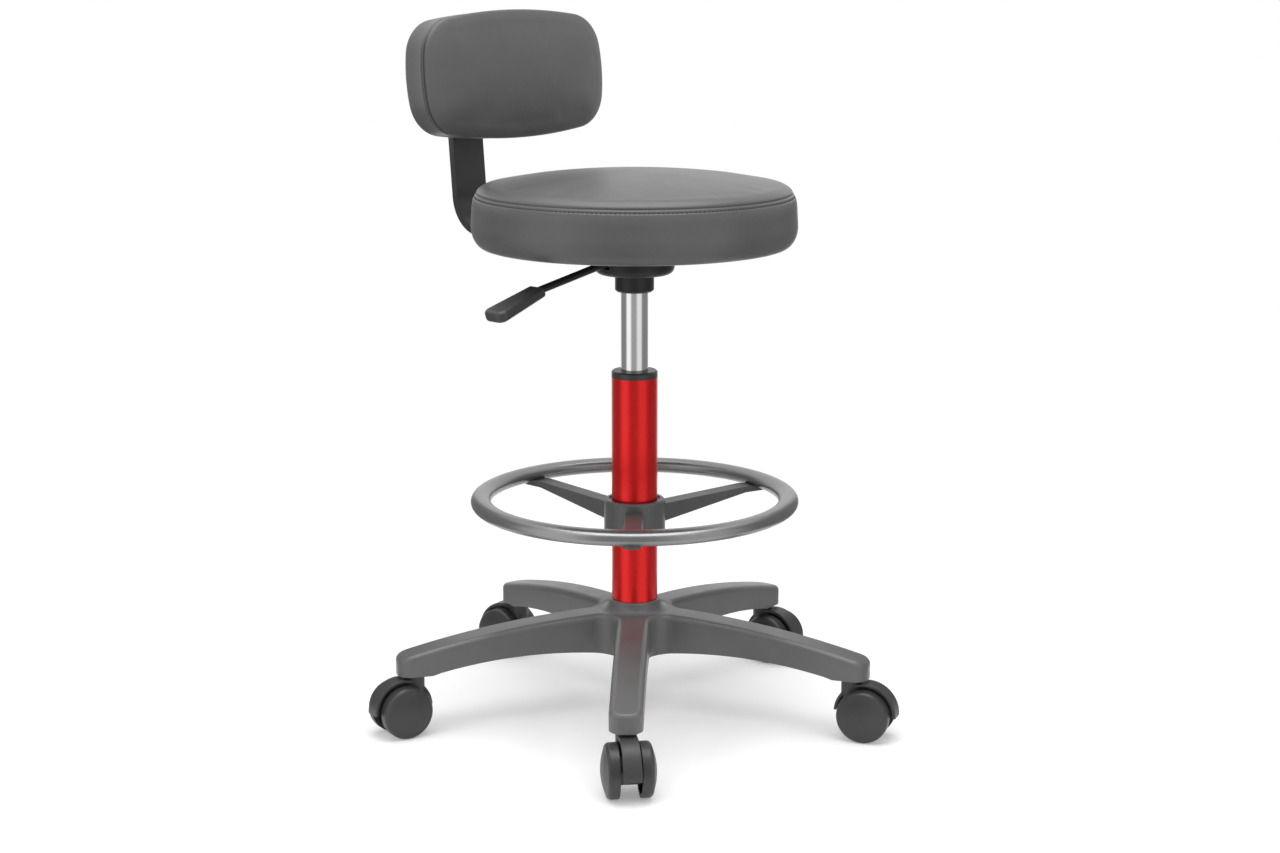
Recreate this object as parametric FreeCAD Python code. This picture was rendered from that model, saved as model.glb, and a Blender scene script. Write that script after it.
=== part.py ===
import FreeCAD, Part
import math
import os

# Adjustable work stool: padded round seat with a lumbar pad on a flat bar, gas column,
# foot ring on a twist-lock carrier, five-star base on twin-wheel casters.
# Millimetres. Origin on the floor under the column axis, +Z up, the sitter faces -Y,
# the lumbar pad stands at +Y and the height lever reaches out at -X, the sitter's right.

# Clearances and fits
running_clearance = 0.05
sliding_gap = 0.3
edge_tolerance = 0.1
seam_depth = 1.6
seam_half_width = 1.8

# Casters
caster_wheel_radius = 28.5
caster_wheel_width = 17.0
caster_wheel_gap = 1.8
caster_wheel_hub_radius = 8.0
caster_wheel_rim = 4.0
caster_wheel_recess = 6.0
caster_wheel_shoulder = 5.0
caster_wheel_dome = 4.5
caster_hood_overhang = 5.6
caster_hood_width = 19.0
caster_hood_wall = 3.0
caster_hood_web = 5.0
caster_hood_round = 1.0
caster_hood_trailing_angle = -2.0
caster_hood_leading_angle = 176.0
caster_trail = 17.0
caster_top_clearance = 3.4
caster_neck_swell = 1.5
caster_neck_gap = 1.2
caster_stem_radius = 5.5
caster_stem_depth = 30.0
caster_stem_skin = 4.0
caster_stem_collar = 2.5
caster_stem_inset = 19.0
caster_axle_radius = 3.0
caster_axle_end_gap = 3.0
caster_shield_wall = 5.0
caster_shield_reach = 2.0
grip_ring_height = 3.0
grip_ring_depth = 1.0
grip_ring_drop = 5.0
grip_ring_mouth = 2.0
caster_turns = (10.0, 0.0, -88.0, 24.0, 16.0)

# Five-star base
leg_count = 5
leg_start_angle = -137.0
leg_tip_radius = 267.0
leg_width = 35.0
leg_blend_radius = 20.0
leg_tip_flat = 5.0
leg_tip_overrun = 2.0
leg_tip_rise = 19.5
leg_top_edge_round = 6.0
leg_top_bow = 6.1
leg_root_wall = 17.0
leg_root_rise = 53.6
leg_pad_length = 36.0
leg_pad_step = 2.6
leg_pad_ramp = 9.0
leg_arch_rise = 13.6
leg_wall = 4.0
leg_skin = 5.0
leg_rib_count = 3
leg_rib_thickness = 3.0
leg_pocket_inset = 27.0
hub_bottom_rise = 8.0
hub_foot_wall = 11.0
hub_height = 65.0
hub_collar_wall = 3.6
hub_collar_round = 2.0
hub_waist_draw = 4.2

# Column
column_diameter = 50.0
column_wall = 1.5
column_length = 247.5
column_floor = 4.0
column_foot_gap = 3.0
column_taper = 1.43
bush_flange = 7.5
bush_length = 116.0
bush_flange_round = 1.5

# Gas spring
cylinder_diameter = 30.0
cylinder_wall = 2.0
cylinder_length = 300.0
cylinder_shown = 106.0
cylinder_lip = 2.0
rod_diameter = 10.0
rod_tail = 6.0
rod_clip_height = 1.6
rod_clip_radius = 9.0
rod_clip_groove = 1.2
race_height = 2.6
race_outer_radius = 12.0
ball_diameter = 4.0
ball_count = 9
ball_groove_depth = 0.6
buffer_height = 12.0
buffer_radius = 14.0
piston_height = 14.0
piston_rise = 148.0
rod_guide_height = 20.0
valve_skin = 6.0
release_pin_radius = 4.0
release_pin_proud = 8.7
release_pin_length = 24.0
release_pin_travel = 4.0

# Mechanism under the seat
socket_wall = 6.0
socket_grip = 20.0
socket_overrun = 2.0
socket_proud = 0.5
socket_edge = 2.0
bowl_radius = 43.0
bowl_depth = 27.0
bowl_wall = 2.5
bowl_edge_round = 8.0
plate_rim = 9.0
plate_thickness = 3.0
plate_corner = 10.0
plate_bolt_margin = 12.0
bolt_radius = 4.0
bolt_head_across_flats = 13.0
bolt_head_height = 5.3

# Lever
lever_rod_radius = 4.0
lever_end_overlap = 3.0
lever_pivot_radius = 2.5
lever_knuckle_radius = 6.0
lever_knuckle_width = 11.0
lever_ear_gap = 0.4
lever_ear_thickness = 3.0
lever_ear_width = 12.0
lever_ear_clearance = 3.5
lever_bend_clearance = 5.0
lever_bend_radius = 30.0
lever_rod_droop = 11.0
lever_reach = 92.0
lever_slot_side_gap = 1.0
lever_slot_top_gap = 3.0
lever_slot_bottom_gap = 1.5
paddle_droop = 18.0
paddle_length = 68.0
paddle_root_width = 20.0
paddle_width = 31.0
paddle_thickness = 12.0
paddle_corner = 9.0
paddle_round = 4.0
paddle_bury = 12.0

# Seat
seat_radius = 174.5
seat_padding = 24.5
seat_wrap = 14.0
seat_widest_rise = 35.0
seat_side_bulge = 4.0
seat_seam_draw = 6.0
seat_seam_rise = 22.5
seat_upper_bulge = 1.4
seat_shoulder_draw = 20.5
seat_shoulder_rise = 11.0
seat_edge_bulge = 3.4
seat_crown = 11.0
board_thickness = 12.0
dust_cover_thickness = 1.0
dust_cover_margin = 4.0
t_nut_flange_radius = 11.0
t_nut_flange = 1.5
t_nut_barrel_wall = 1.5
t_nut_inset = 1.5

# Lumbar pad and its bar
bar_width = 45.0
bar_thickness = 8.0
bar_plate_gap = 10.0
bar_bolt_margin = 26.0
bar_bolt_edge = 17.0
bar_seat_gap = 52.0
bar_bend_radius = 41.0
bar_recline = 5.0
bar_overrun = 21.6
bar_corner = 10.0
pad_width = 262.0
pad_height = 140.0
pad_long_bow_radius = 650.0
pad_short_bow_radius = 120.0
pad_corner = 50.0
pad_up_bar = 133.9
pad_band = 30.0
pad_crown = 13.0
pad_crown_inset = 42.0
pad_crown_steps = 4
pad_rear_crown = 6.0
pad_rear_inset = 12.0
pad_rear_edge = 3.0
pad_rear_edge_rise = 3.6
pad_side_draw = 1.0
pad_board_inset = 24.0
pad_board_corner = 30.0
pad_board_thickness = 10.0
mount_depth = 52.3
mount_width = 76.0
mount_height = 84.0
mount_bar_width = 56.0
mount_bar_height = 66.0
mount_corner = 12.0
pad_screw_pitch = 42.0
pad_screw_radius = 3.0
pad_screw_head_radius = 6.0
pad_screw_head = 3.4
pad_screw_skin = 3.0

# Foot ring
ring_radius = 168.0
ring_rise = 111.5
ring_tube_width = 22.0
ring_tube_height = 17.0
ring_tube_side_radius = 7.5
spoke_angles = (-136.0, -11.0, 89.0)
spoke_width = 20.0
spoke_root_drop = 9.0
spoke_root_depth = 20.5
spoke_neck_inset = 20.0
spoke_neck_drop = 3.5
spoke_neck_depth = 7.0
spoke_tongue_reach = 7.0
spoke_tongue_skin = 2.4
spoke_tongue_end = 4.0
spoke_edge_round = 1.5
spoke_tip_round = 8.0
carrier_wall = 5.4
carrier_proud = 1.0
carrier_height = 38.5
carrier_edge_round = 2.0
collet_wall = 3.0
collet_recess = 1.2
collet_slit = 4.0
ring_screw_radius = 2.5
ring_screw_head_radius = 4.5
ring_screw_head = 2.0
ring_screw_length = 12.0

# Sizes and places that follow from the ones above, from the floor upwards
axis_z = FreeCAD.Vector(0, 0, 1)
origin = FreeCAD.Vector(0, 0, 0)
column_radius = column_diameter / 2
column_bore_radius = column_radius - column_wall
cylinder_radius = cylinder_diameter / 2
cylinder_bore_radius = cylinder_radius - cylinder_wall
rod_radius = rod_diameter / 2
leg_half = leg_width / 2
leg_spacing = 360.0 / leg_count
leg_tip_corner = leg_half - leg_tip_flat / 2
caster_hood_radius = caster_wheel_radius + caster_hood_overhang
caster_neck_radius = caster_hood_width / 2 + caster_neck_swell
caster_wheel_inner = caster_hood_width / 2 + caster_wheel_gap
caster_shield_bore = caster_wheel_hub_radius + caster_wheel_gap
caster_shield_radius = caster_shield_bore + caster_shield_wall
leg_bottom = caster_wheel_radius + caster_hood_radius + caster_top_clearance
caster_stem_seat = leg_bottom - caster_stem_depth
stem_circle_radius = leg_tip_radius - caster_stem_inset
leg_tip_height = leg_bottom + leg_tip_rise
stem_top = leg_tip_height - caster_stem_skin
leg_pad_start = leg_tip_radius - leg_pad_length
hub_bottom = leg_bottom + hub_bottom_rise
hub_top = leg_bottom + hub_height
column_end = hub_bottom + column_foot_gap
column_top = hub_top + column_length
bearing_floor = column_end + column_floor
ball_gap = ball_diameter - 2 * ball_groove_depth
ball_circle_radius = (rod_radius + sliding_gap + race_outer_radius) / 2
ball_height = bearing_floor + race_height + ball_gap / 2
upper_race_bottom = bearing_floor + race_height + ball_gap
buffer_bottom = upper_race_bottom + race_height
clip_bottom = column_end - sliding_gap - rod_clip_height
cylinder_top = column_top + bush_flange + cylinder_shown
cylinder_bottom = cylinder_top - cylinder_length
piston_bottom = cylinder_bottom + piston_rise
rod_top = piston_bottom + piston_height
release_pin_top = cylinder_top + release_pin_proud
socket_radius = cylinder_radius + socket_wall
socket_bottom = cylinder_top - socket_grip
socket_top = cylinder_top + socket_overrun
bowl_bottom = socket_top - socket_proud - bowl_wall
plate_half = bowl_radius + plate_rim
plate_bottom = bowl_bottom + bowl_depth
plate_bolt_offset = plate_half - plate_bolt_margin
seat_bottom = plate_bottom + plate_thickness
lever_height = release_pin_top + sliding_gap + lever_rod_radius
lever_inner_end = release_pin_radius + lever_end_overlap
lever_pivot_offset = bowl_radius - bowl_wall - lever_ear_clearance - lever_ear_width / 2
lever_bend_offset = bowl_radius + lever_bend_clearance
paddle_start = lever_bend_offset + lever_reach
board_radius = seat_radius - seat_padding
board_bottom = seat_bottom + dust_cover_thickness
board_top = board_bottom + board_thickness
t_nut_barrel_radius = bolt_radius + t_nut_barrel_wall
seat_widest_height = seat_bottom + seat_widest_rise
seat_seam_radius = seat_radius - seat_seam_draw
seat_seam_height = seat_widest_height + seat_seam_rise
seat_shoulder_radius = seat_seam_radius - seat_shoulder_draw
seat_shoulder_height = seat_seam_height + seat_shoulder_rise
bar_front = plate_half + bar_plate_gap
bar_bolt_first = bar_front + bar_bolt_margin
bar_bolt_last = board_radius - bar_bolt_edge
bar_bend_start = seat_radius + bar_seat_gap
bar_lean = math.radians(bar_recline)
bar_run = pad_up_bar + mount_bar_height / 2 + bar_overrun
pad_off_bar = mount_depth + pad_rear_crown + pad_band / 2
ring_height = hub_top + ring_rise
carrier_bore_radius = column_radius + collet_wall + 2 * running_clearance
carrier_radius = carrier_bore_radius + carrier_wall
carrier_top = ring_height + carrier_proud
carrier_bottom = carrier_top - carrier_height
spoke_tongue_bottom = ring_height - ring_tube_height / 2 - spoke_tongue_skin


def point(x, y, z):
    """A point in the part's frame."""
    return FreeCAD.Vector(x, y, z)


def profile(radius, height):
    """A point of a turned profile."""
    return point(radius, 0, height)


def along(angle, out, side, height):
    """A point at a distance out along a direction and to its left, at a height."""
    a = math.radians(angle)
    x = out * math.cos(a) - side * math.sin(a)
    y = out * math.sin(a) + side * math.cos(a)
    return point(x, y, height)


def turned(shape, angle):
    """A copy of a shape turned about the column axis."""
    copy = shape.copy()
    copy.rotate(origin, axis_z, angle)
    return copy


def moved(shape, x, y, z):
    """A copy of a shape moved by x, y and z."""
    copy = shape.copy()
    copy.translate(point(x, y, z))
    return copy


def cylinder(radius, bottom, top, x=0.0, y=0.0):
    """An upright round bar between two heights."""
    return Part.makeCylinder(radius, top - bottom, point(x, y, bottom))


def tube(outer, inner, bottom, top):
    """An upright sleeve on the column axis between two heights."""
    return cylinder(outer, bottom, top).cut(cylinder(inner, bottom, top))


def cross_pin(radius, length, x, z):
    """A round bar along Y, centred on the XZ plane."""
    return Part.makeCylinder(radius, length, point(x, -length / 2, z), point(0, 1, 0))


def runs(*points):
    """Straight edges from point to point."""
    return [Part.makeLine(start, end) for start, end in zip(points, points[1:])]


def arc(start, middle, end):
    """A round edge through three points."""
    return Part.Arc(start, middle, end).toShape()


def bow(start, end, rise):
    """A round edge of a turned profile that swells by rise to the right of its way."""
    way = end - start
    side = point(way.z, 0, -way.x).normalize()
    return arc(start, (start + end) * 0.5 + side * rise, end)


def quarter(start, end, radius):
    """A quarter round of a turned profile that swells to the right of its way."""
    return bow(start, end, radius * (1 - math.sqrt(0.5)))


def dome(edge, crown):
    """A round edge of a turned profile up to its crown on the axis, level there."""
    rise = crown.z - edge.z
    radius = (edge.x ** 2 + rise ** 2) / (2 * rise)
    half = edge.x / 2
    drop = radius - math.sqrt(radius ** 2 - half ** 2)
    return arc(edge, profile(half, crown.z - drop), crown)


def round_section(edges):
    """A solid turned about the column axis from a closed profile."""
    return Part.Face(Part.Wire(edges)).revolve(origin, axis_z, 360)


def polygon_section(*corners):
    """A solid turned about the column axis from straight runs of radius and height."""
    points = [profile(radius, height) for radius, height in corners]
    return round_section(runs(*points, points[0]))


def write(name, shape):
    """Save one piece under its node's name."""
    shape.exportStep("parts/" + name + ".step")


def leg_angle(index):
    """The direction of one leg."""
    return leg_start_angle + index * leg_spacing


def star_outline():
    """The base seen from above: five straight legs joined by concave arcs."""
    half_turn = math.radians(leg_spacing / 2)
    root = (leg_half + leg_blend_radius) / math.tan(half_turn)
    crotch = (leg_half + leg_blend_radius) / math.sin(half_turn) - leg_blend_radius
    end = leg_tip_radius
    bulge = leg_tip_corner * (1 - math.sqrt(0.5))
    edges = []
    for index in range(leg_count):
        a = leg_angle(index)
        right_root = along(a, root, -leg_half, 0)
        right_end = along(a, end - leg_tip_corner, -leg_half, 0)
        right_bulge = along(a, end - bulge, bulge - leg_half, 0)
        right_tip = along(a, end, leg_tip_corner - leg_half, 0)
        left_tip = along(a, end, leg_half - leg_tip_corner, 0)
        left_bulge = along(a, end - bulge, leg_half - bulge, 0)
        left_end = along(a, end - leg_tip_corner, leg_half, 0)
        left_root = along(a, root, leg_half, 0)
        crotch_middle = along(a + leg_spacing / 2, crotch, 0, 0)
        next_root = along(a + leg_spacing, root, -leg_half, 0)
        edges += runs(right_root, right_end) + [arc(right_end, right_bulge, right_tip)]
        edges += runs(right_tip, left_tip) + [arc(left_tip, left_bulge, left_end)]
        edges += runs(left_end, left_root) + [arc(left_root, crotch_middle, next_root)]
    return Part.Wire(edges)


def star_envelope():
    """The side view of the base turned about its axis."""
    collar = column_radius + hub_collar_wall
    end = leg_tip_radius + leg_tip_overrun
    inner = profile(0, hub_bottom)
    foot = profile(column_radius + hub_foot_wall, hub_bottom)
    ramp = profile(leg_pad_start - leg_pad_ramp, leg_bottom + leg_pad_step)
    arch = profile((foot.x + ramp.x) / 2, leg_bottom + leg_arch_rise)
    pad = profile(leg_pad_start, leg_bottom)
    tip_foot = profile(end, leg_bottom)
    tip = profile(end, leg_tip_height)
    root = profile(column_radius + leg_root_wall, leg_bottom + leg_root_rise)
    neck = profile(collar, hub_top - hub_collar_round)
    rim = profile(collar - hub_collar_round, hub_top)
    top = profile(0, hub_top)
    edges = runs(inner, foot) + [arc(foot, arch, ramp)] + runs(ramp, pad, tip_foot, tip)
    edges += [bow(tip, root, leg_top_bow), bow(root, neck, -hub_waist_draw)]
    edges.append(quarter(neck, rim, hub_collar_round))
    return round_section(edges + runs(rim, top, inner))


def star_base():
    """Moulded base: star outline cut to the turned side view, ribbed below, bored for column and stems."""
    blank = moved(Part.Face(star_outline()), 0, 0, leg_bottom)
    star = blank.extrude(point(0, 0, hub_height)).common(star_envelope())
    top_edges = []
    for edge in star.Edges:
        middle = edge.valueAt((edge.FirstParameter + edge.LastParameter) / 2)
        free_form = edge.Curve.TypeId == "Part::GeomBSplineCurve"
        if free_form and middle.z > leg_bottom + leg_arch_rise:
            top_edges.append(edge)
    star = star.makeFillet(leg_top_edge_round, top_edges)
    below_skin = moved(star_envelope(), 0, 0, -leg_skin)
    for index in range(leg_count):
        angle = leg_angle(index)
        for pocket in leg_pockets():
            star = star.cut(turned(pocket, angle).common(below_skin))
        stem = along(angle, stem_circle_radius, 0, 0)
        star = star.cut(cylinder(caster_stem_radius, leg_bottom, stem_top, stem.x, stem.y))
    return star.cut(column_socket())


def leg_pockets():
    """The open cells under one leg that points along +X, between its cross ribs."""
    start = column_radius + leg_pocket_inset
    end = leg_pad_start - leg_pad_ramp - leg_wall
    length = (end - start - leg_rib_count * leg_rib_thickness) / (leg_rib_count + 1)
    width = leg_width - 2 * leg_wall
    cells = []
    for cell in range(leg_rib_count + 1):
        corner = point(start + cell * (length + leg_rib_thickness), -width / 2, leg_bottom)
        cells.append(Part.makeBox(length, width, hub_height, corner))
    return cells


def taper_radius(height):
    """Radius of the column's tapered foot at a height."""
    return column_radius - (hub_top - height) * math.tan(math.radians(column_taper))


def column_socket():
    """The tapered hole through the hub."""
    foot = taper_radius(hub_bottom)
    return polygon_section((0, hub_bottom), (foot, hub_bottom), (column_radius, hub_top), (0, hub_top))


def column_tube():
    """Column sleeve with a tapered foot and a floor that carries the bearing."""
    hole = rod_radius + sliding_gap
    foot_bore = taper_radius(bearing_floor) - column_wall
    return polygon_section(
        (hole, column_end), (taper_radius(column_end), column_end), (column_radius, hub_top),
        (column_radius, column_top), (column_bore_radius, column_top), (column_bore_radius, hub_top),
        (foot_bore, bearing_floor), (hole, bearing_floor)
    )


def column_bush():
    """Plastic guide sleeve pressed into the column, with a flange on its rim."""
    bore = cylinder_radius + running_clearance
    bottom = column_top - bush_length
    flange_top = column_top + bush_flange
    return polygon_section(
        (bore, bottom), (column_bore_radius, bottom), (column_bore_radius, column_top),
        (column_radius, column_top), (column_radius, flange_top - bush_flange_round),
        (column_radius - bush_flange_round, flange_top), (bore, flange_top)
    )


def race(bottom, groove_radius):
    """One washer of the thrust bearing, with its ball groove."""
    washer = tube(race_outer_radius, rod_radius + sliding_gap, bottom, bottom + race_height)
    return washer.cut(Part.makeTorus(ball_circle_radius, groove_radius, point(0, 0, ball_height)))


def thrust_balls():
    """The balls between the two washers."""
    balls = []
    for index in range(ball_count):
        centre = along(index * 360.0 / ball_count, ball_circle_radius, 0, ball_height)
        balls.append(Part.makeSphere(ball_diameter / 2, centre))
    return Part.makeCompound(balls)


def rubber_buffer():
    """Rubber stop on the rod that the cylinder comes down on."""
    return tube(buffer_radius, rod_radius, buffer_bottom, buffer_bottom + buffer_height)


def piston_rod():
    """Thin rod fixed in the column floor, with a groove for its clip."""
    neck = rod_radius - rod_clip_groove
    bottom = column_end - rod_tail
    clip_top = clip_bottom + rod_clip_height
    return polygon_section(
        (0, bottom), (rod_radius, bottom), (rod_radius, clip_bottom), (neck, clip_bottom),
        (neck, clip_top), (rod_radius, clip_top), (rod_radius, rod_top), (0, rod_top)
    )


def rod_clip():
    """Open spring clip in the rod's groove."""
    neck = rod_radius - rod_clip_groove
    clip = tube(rod_clip_radius, neck, clip_bottom, clip_bottom + rod_clip_height)
    mouth = Part.makeBox(rod_clip_radius, 2 * neck, rod_clip_height, point(0, -neck, clip_bottom))
    return clip.cut(mouth)


def piston():
    """Piston on the rod's head, running in the cylinder."""
    return tube(cylinder_bore_radius - running_clearance, rod_radius, piston_bottom, rod_top)


def rod_guide():
    """Seal and guide at the cylinder's foot, running on the rod."""
    bottom = cylinder_bottom + cylinder_lip
    return tube(cylinder_bore_radius, rod_radius + running_clearance, bottom, bottom + rod_guide_height)


def head_radius(height):
    """Radius of the cylinder's tapered head at a height."""
    return cylinder_radius - (height - socket_bottom) * math.tan(math.radians(column_taper))


def gas_cylinder():
    """Plated cylinder, open below for the rod guide and tapered above for the seat's socket."""
    mouth = rod_radius + cylinder_lip
    pin_hole = release_pin_radius + running_clearance
    head_floor = cylinder_top - cylinder_lip
    foot_floor = cylinder_bottom + cylinder_lip
    return polygon_section(
        (mouth, cylinder_bottom), (cylinder_radius, cylinder_bottom), (cylinder_radius, socket_bottom),
        (head_radius(cylinder_top), cylinder_top), (pin_hole, cylinder_top), (pin_hole, head_floor),
        (cylinder_bore_radius, head_floor), (cylinder_bore_radius, foot_floor), (mouth, foot_floor)
    )


def valve_body():
    """Plug at the head of the cylinder with a blind bore for the release pin."""
    top = cylinder_top - cylinder_lip
    floor = release_pin_top - release_pin_length - release_pin_travel
    plug = cylinder(cylinder_bore_radius, floor - valve_skin, top)
    return plug.cut(cylinder(release_pin_radius + running_clearance, floor, top))


def release_pin():
    """Pin that the lever presses to open the valve."""
    return cylinder(release_pin_radius, release_pin_top - release_pin_length, release_pin_top)


def plate_bolt_places():
    """The four bolt centres of the seat plate."""
    return [(x * plate_bolt_offset, y * plate_bolt_offset) for x in (-1, 1) for y in (-1, 1)]


def bar_bolt_places():
    """The two bolt centres of the lumbar bar under the seat."""
    return [(0.0, bar_bolt_first), (0.0, bar_bolt_last)]


def mechanism_plate():
    """Square seat plate with two ears below it for the lever's pivot pin."""
    corner = point(-plate_half, -plate_half, plate_bottom)
    plate = Part.makeBox(2 * plate_half, 2 * plate_half, plate_thickness, corner)
    upright = [edge for edge in plate.Edges if edge.BoundBox.ZLength > plate_thickness / 2]
    plate = plate.makeFillet(plate_corner, upright)
    for x, y in plate_bolt_places():
        plate = plate.cut(cylinder(bolt_radius, plate_bottom, seat_bottom, x, y))
    ear_left = -lever_pivot_offset - lever_ear_width / 2
    ear_bottom = lever_height - lever_ear_width / 2
    near = lever_knuckle_width / 2 + lever_ear_gap
    for ear_start in (near, -near - lever_ear_thickness):
        ear_corner = point(ear_left, ear_start, ear_bottom)
        ear = Part.makeBox(lever_ear_width, lever_ear_thickness, plate_bottom - ear_bottom, ear_corner)
        plate = plate.fuse(ear)
    return plate.cut(lever_pivot_pin()).removeSplitter()


def mechanism_bowl():
    """Pressed bowl under the plate, with a hole for the socket and a slot for the lever."""
    inner = bowl_radius - bowl_wall
    inner_round = bowl_edge_round - bowl_wall
    floor = bowl_bottom + bowl_wall
    wall_start = bowl_bottom + bowl_edge_round
    hole_low = profile(socket_radius, bowl_bottom)
    hole_high = profile(socket_radius, floor)
    outer_low = profile(bowl_radius - bowl_edge_round, bowl_bottom)
    outer_high = profile(bowl_radius, wall_start)
    rim_outer = profile(bowl_radius, plate_bottom)
    rim_inner = profile(inner, plate_bottom)
    inner_high = profile(inner, wall_start)
    inner_low = profile(inner - inner_round, floor)
    edges = runs(hole_low, outer_low) + [quarter(outer_low, outer_high, bowl_edge_round)]
    edges += runs(outer_high, rim_outer, rim_inner, inner_high)
    edges += [quarter(inner_high, inner_low, -inner_round)] + runs(inner_low, hole_high, hole_low)
    half_width = lever_rod_radius + lever_slot_side_gap
    slot_bottom = lever_height - lever_rod_radius - lever_slot_bottom_gap
    slot_height = 2 * lever_rod_radius + lever_slot_bottom_gap + lever_slot_top_gap
    slot_corner = point(-bowl_radius - bowl_wall, -half_width, slot_bottom)
    slot = Part.makeBox(bowl_radius - lever_pivot_offset, 2 * half_width, slot_height, slot_corner)
    return round_section(edges).cut(slot)


def socket_collar():
    """Tapered socket that grips the head of the cylinder."""
    return polygon_section(
        (cylinder_radius, socket_bottom), (socket_radius - socket_edge, socket_bottom),
        (socket_radius, socket_bottom + socket_edge), (socket_radius, socket_top),
        (head_radius(socket_top), socket_top)
    )


def hex_bolt(x, y, seat, grip):
    """Hexagon bolt with its head under a face and its shank reaching up."""
    corner = bolt_head_across_flats / math.sqrt(3)
    ring = [along(60 * index, corner, 0, seat - bolt_head_height) for index in range(6)]
    head = Part.Face(Part.makePolygon(ring + ring[:1])).extrude(point(0, 0, bolt_head_height))
    return moved(head, x, y, 0).fuse(cylinder(bolt_radius, seat, seat + grip, x, y))


def bolts(places, seat):
    """A group of bolts that end inside their T-nuts."""
    grip = board_top - t_nut_flange - seat
    return Part.makeCompound([hex_bolt(x, y, seat, grip) for x, y in places])


def t_nut(x, y):
    """Flanged nut let into the top of the seat board."""
    flange_bottom = board_top - t_nut_flange
    barrel = cylinder(t_nut_barrel_radius, board_bottom + t_nut_inset, flange_bottom, x, y)
    nut = barrel.fuse(cylinder(t_nut_flange_radius, flange_bottom, board_top, x, y))
    return nut.cut(cylinder(bolt_radius, board_bottom, board_top, x, y))


def seat_t_nuts():
    """All T-nuts of the seat board."""
    return Part.makeCompound([t_nut(x, y) for x, y in plate_bolt_places() + bar_bolt_places()])


def seat_board():
    """Round plywood board with holes for the T-nuts."""
    board = cylinder(board_radius, board_bottom, board_top)
    for x, y in plate_bolt_places() + bar_bolt_places():
        board = board.cut(cylinder(t_nut_barrel_radius, board_bottom, board_top, x, y))
        board = board.cut(cylinder(t_nut_flange_radius, board_top - t_nut_flange, board_top, x, y))
    return board


def seat_dust_cover():
    """Thin cloth disc that closes the underside of the seat."""
    cover = cylinder(board_radius - dust_cover_margin, seat_bottom, board_bottom)
    for x, y in plate_bolt_places() + bar_bolt_places():
        cover = cover.cut(cylinder(bolt_radius, seat_bottom, board_bottom, x, y))
    return cover


def seat_cushion():
    """Padded seat: crowned top, sewn seam under the edge, bulging side turned in under the board."""
    wrap = board_radius - dust_cover_margin
    centre = profile(0, board_top)
    board_edge = profile(board_radius, board_top)
    board_foot = profile(board_radius, board_bottom)
    wrap_top = profile(wrap, board_bottom)
    wrap_end = profile(wrap, seat_bottom)
    foot = profile(board_radius + seat_wrap, seat_bottom)
    widest = profile(seat_radius, seat_widest_height)
    seam_low = profile(seat_seam_radius, seat_seam_height - seam_half_width)
    seam = profile(seat_seam_radius - seam_depth, seat_seam_height)
    seam_high = profile(seat_seam_radius - seam_half_width / 2, seat_seam_height + seam_half_width)
    shoulder = profile(seat_shoulder_radius, seat_shoulder_height)
    crown = profile(0, seat_shoulder_height + seat_crown)
    edges = runs(centre, board_edge, board_foot, wrap_top, wrap_end, foot)
    edges += [bow(foot, widest, seat_side_bulge), bow(widest, seam_low, seat_upper_bulge)]
    edges += runs(seam_low, seam, seam_high)
    edges += [bow(seam_high, shoulder, seat_edge_bulge), dome(shoulder, crown)]
    return round_section(edges + runs(crown, centre))


def lever_path():
    """Centre line of the lever rod: level through the bowl, then drooping out past the seat."""
    droop = math.radians(lever_rod_droop)
    set_back = lever_bend_radius * math.tan(droop / 2)
    reach = paddle_start + paddle_bury
    bend_in_x = set_back - lever_bend_offset
    middle_drop = lever_bend_radius * (1 - math.cos(droop / 2))
    start = point(lever_inner_end, 0, lever_height)
    bend_in = point(bend_in_x, 0, lever_height)
    bend_middle = point(bend_in_x - lever_bend_radius * math.sin(droop / 2), 0, lever_height - middle_drop)
    bend_out = bend_in + point(-set_back * (1 + math.cos(droop)), 0, -set_back * math.sin(droop))
    end = point(-reach, 0, lever_height - (reach - lever_bend_offset) * math.tan(droop))
    return Part.Wire(runs(start, bend_in) + [arc(bend_in, bend_middle, bend_out)] + runs(bend_out, end))


def lever_rod():
    """Bent steel rod with a cross-bored knuckle that turns on the pivot pin."""
    start = point(lever_inner_end, 0, lever_height)
    section = Part.Wire([Part.makeCircle(lever_rod_radius, start, point(1, 0, 0))])
    rod = lever_path().makePipeShell([section], True, True)
    knuckle = cross_pin(lever_knuckle_radius, lever_knuckle_width, -lever_pivot_offset, lever_height)
    bore_radius = lever_pivot_radius + running_clearance
    bore = cross_pin(bore_radius, lever_knuckle_width, -lever_pivot_offset, lever_height)
    return rod.fuse(knuckle).cut(bore)


def lever_pivot_pin():
    """Cross pin held in the two ears of the seat plate."""
    length = lever_knuckle_width + 2 * (lever_ear_gap + lever_ear_thickness)
    return cross_pin(lever_pivot_radius, length, -lever_pivot_offset, lever_height)


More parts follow.
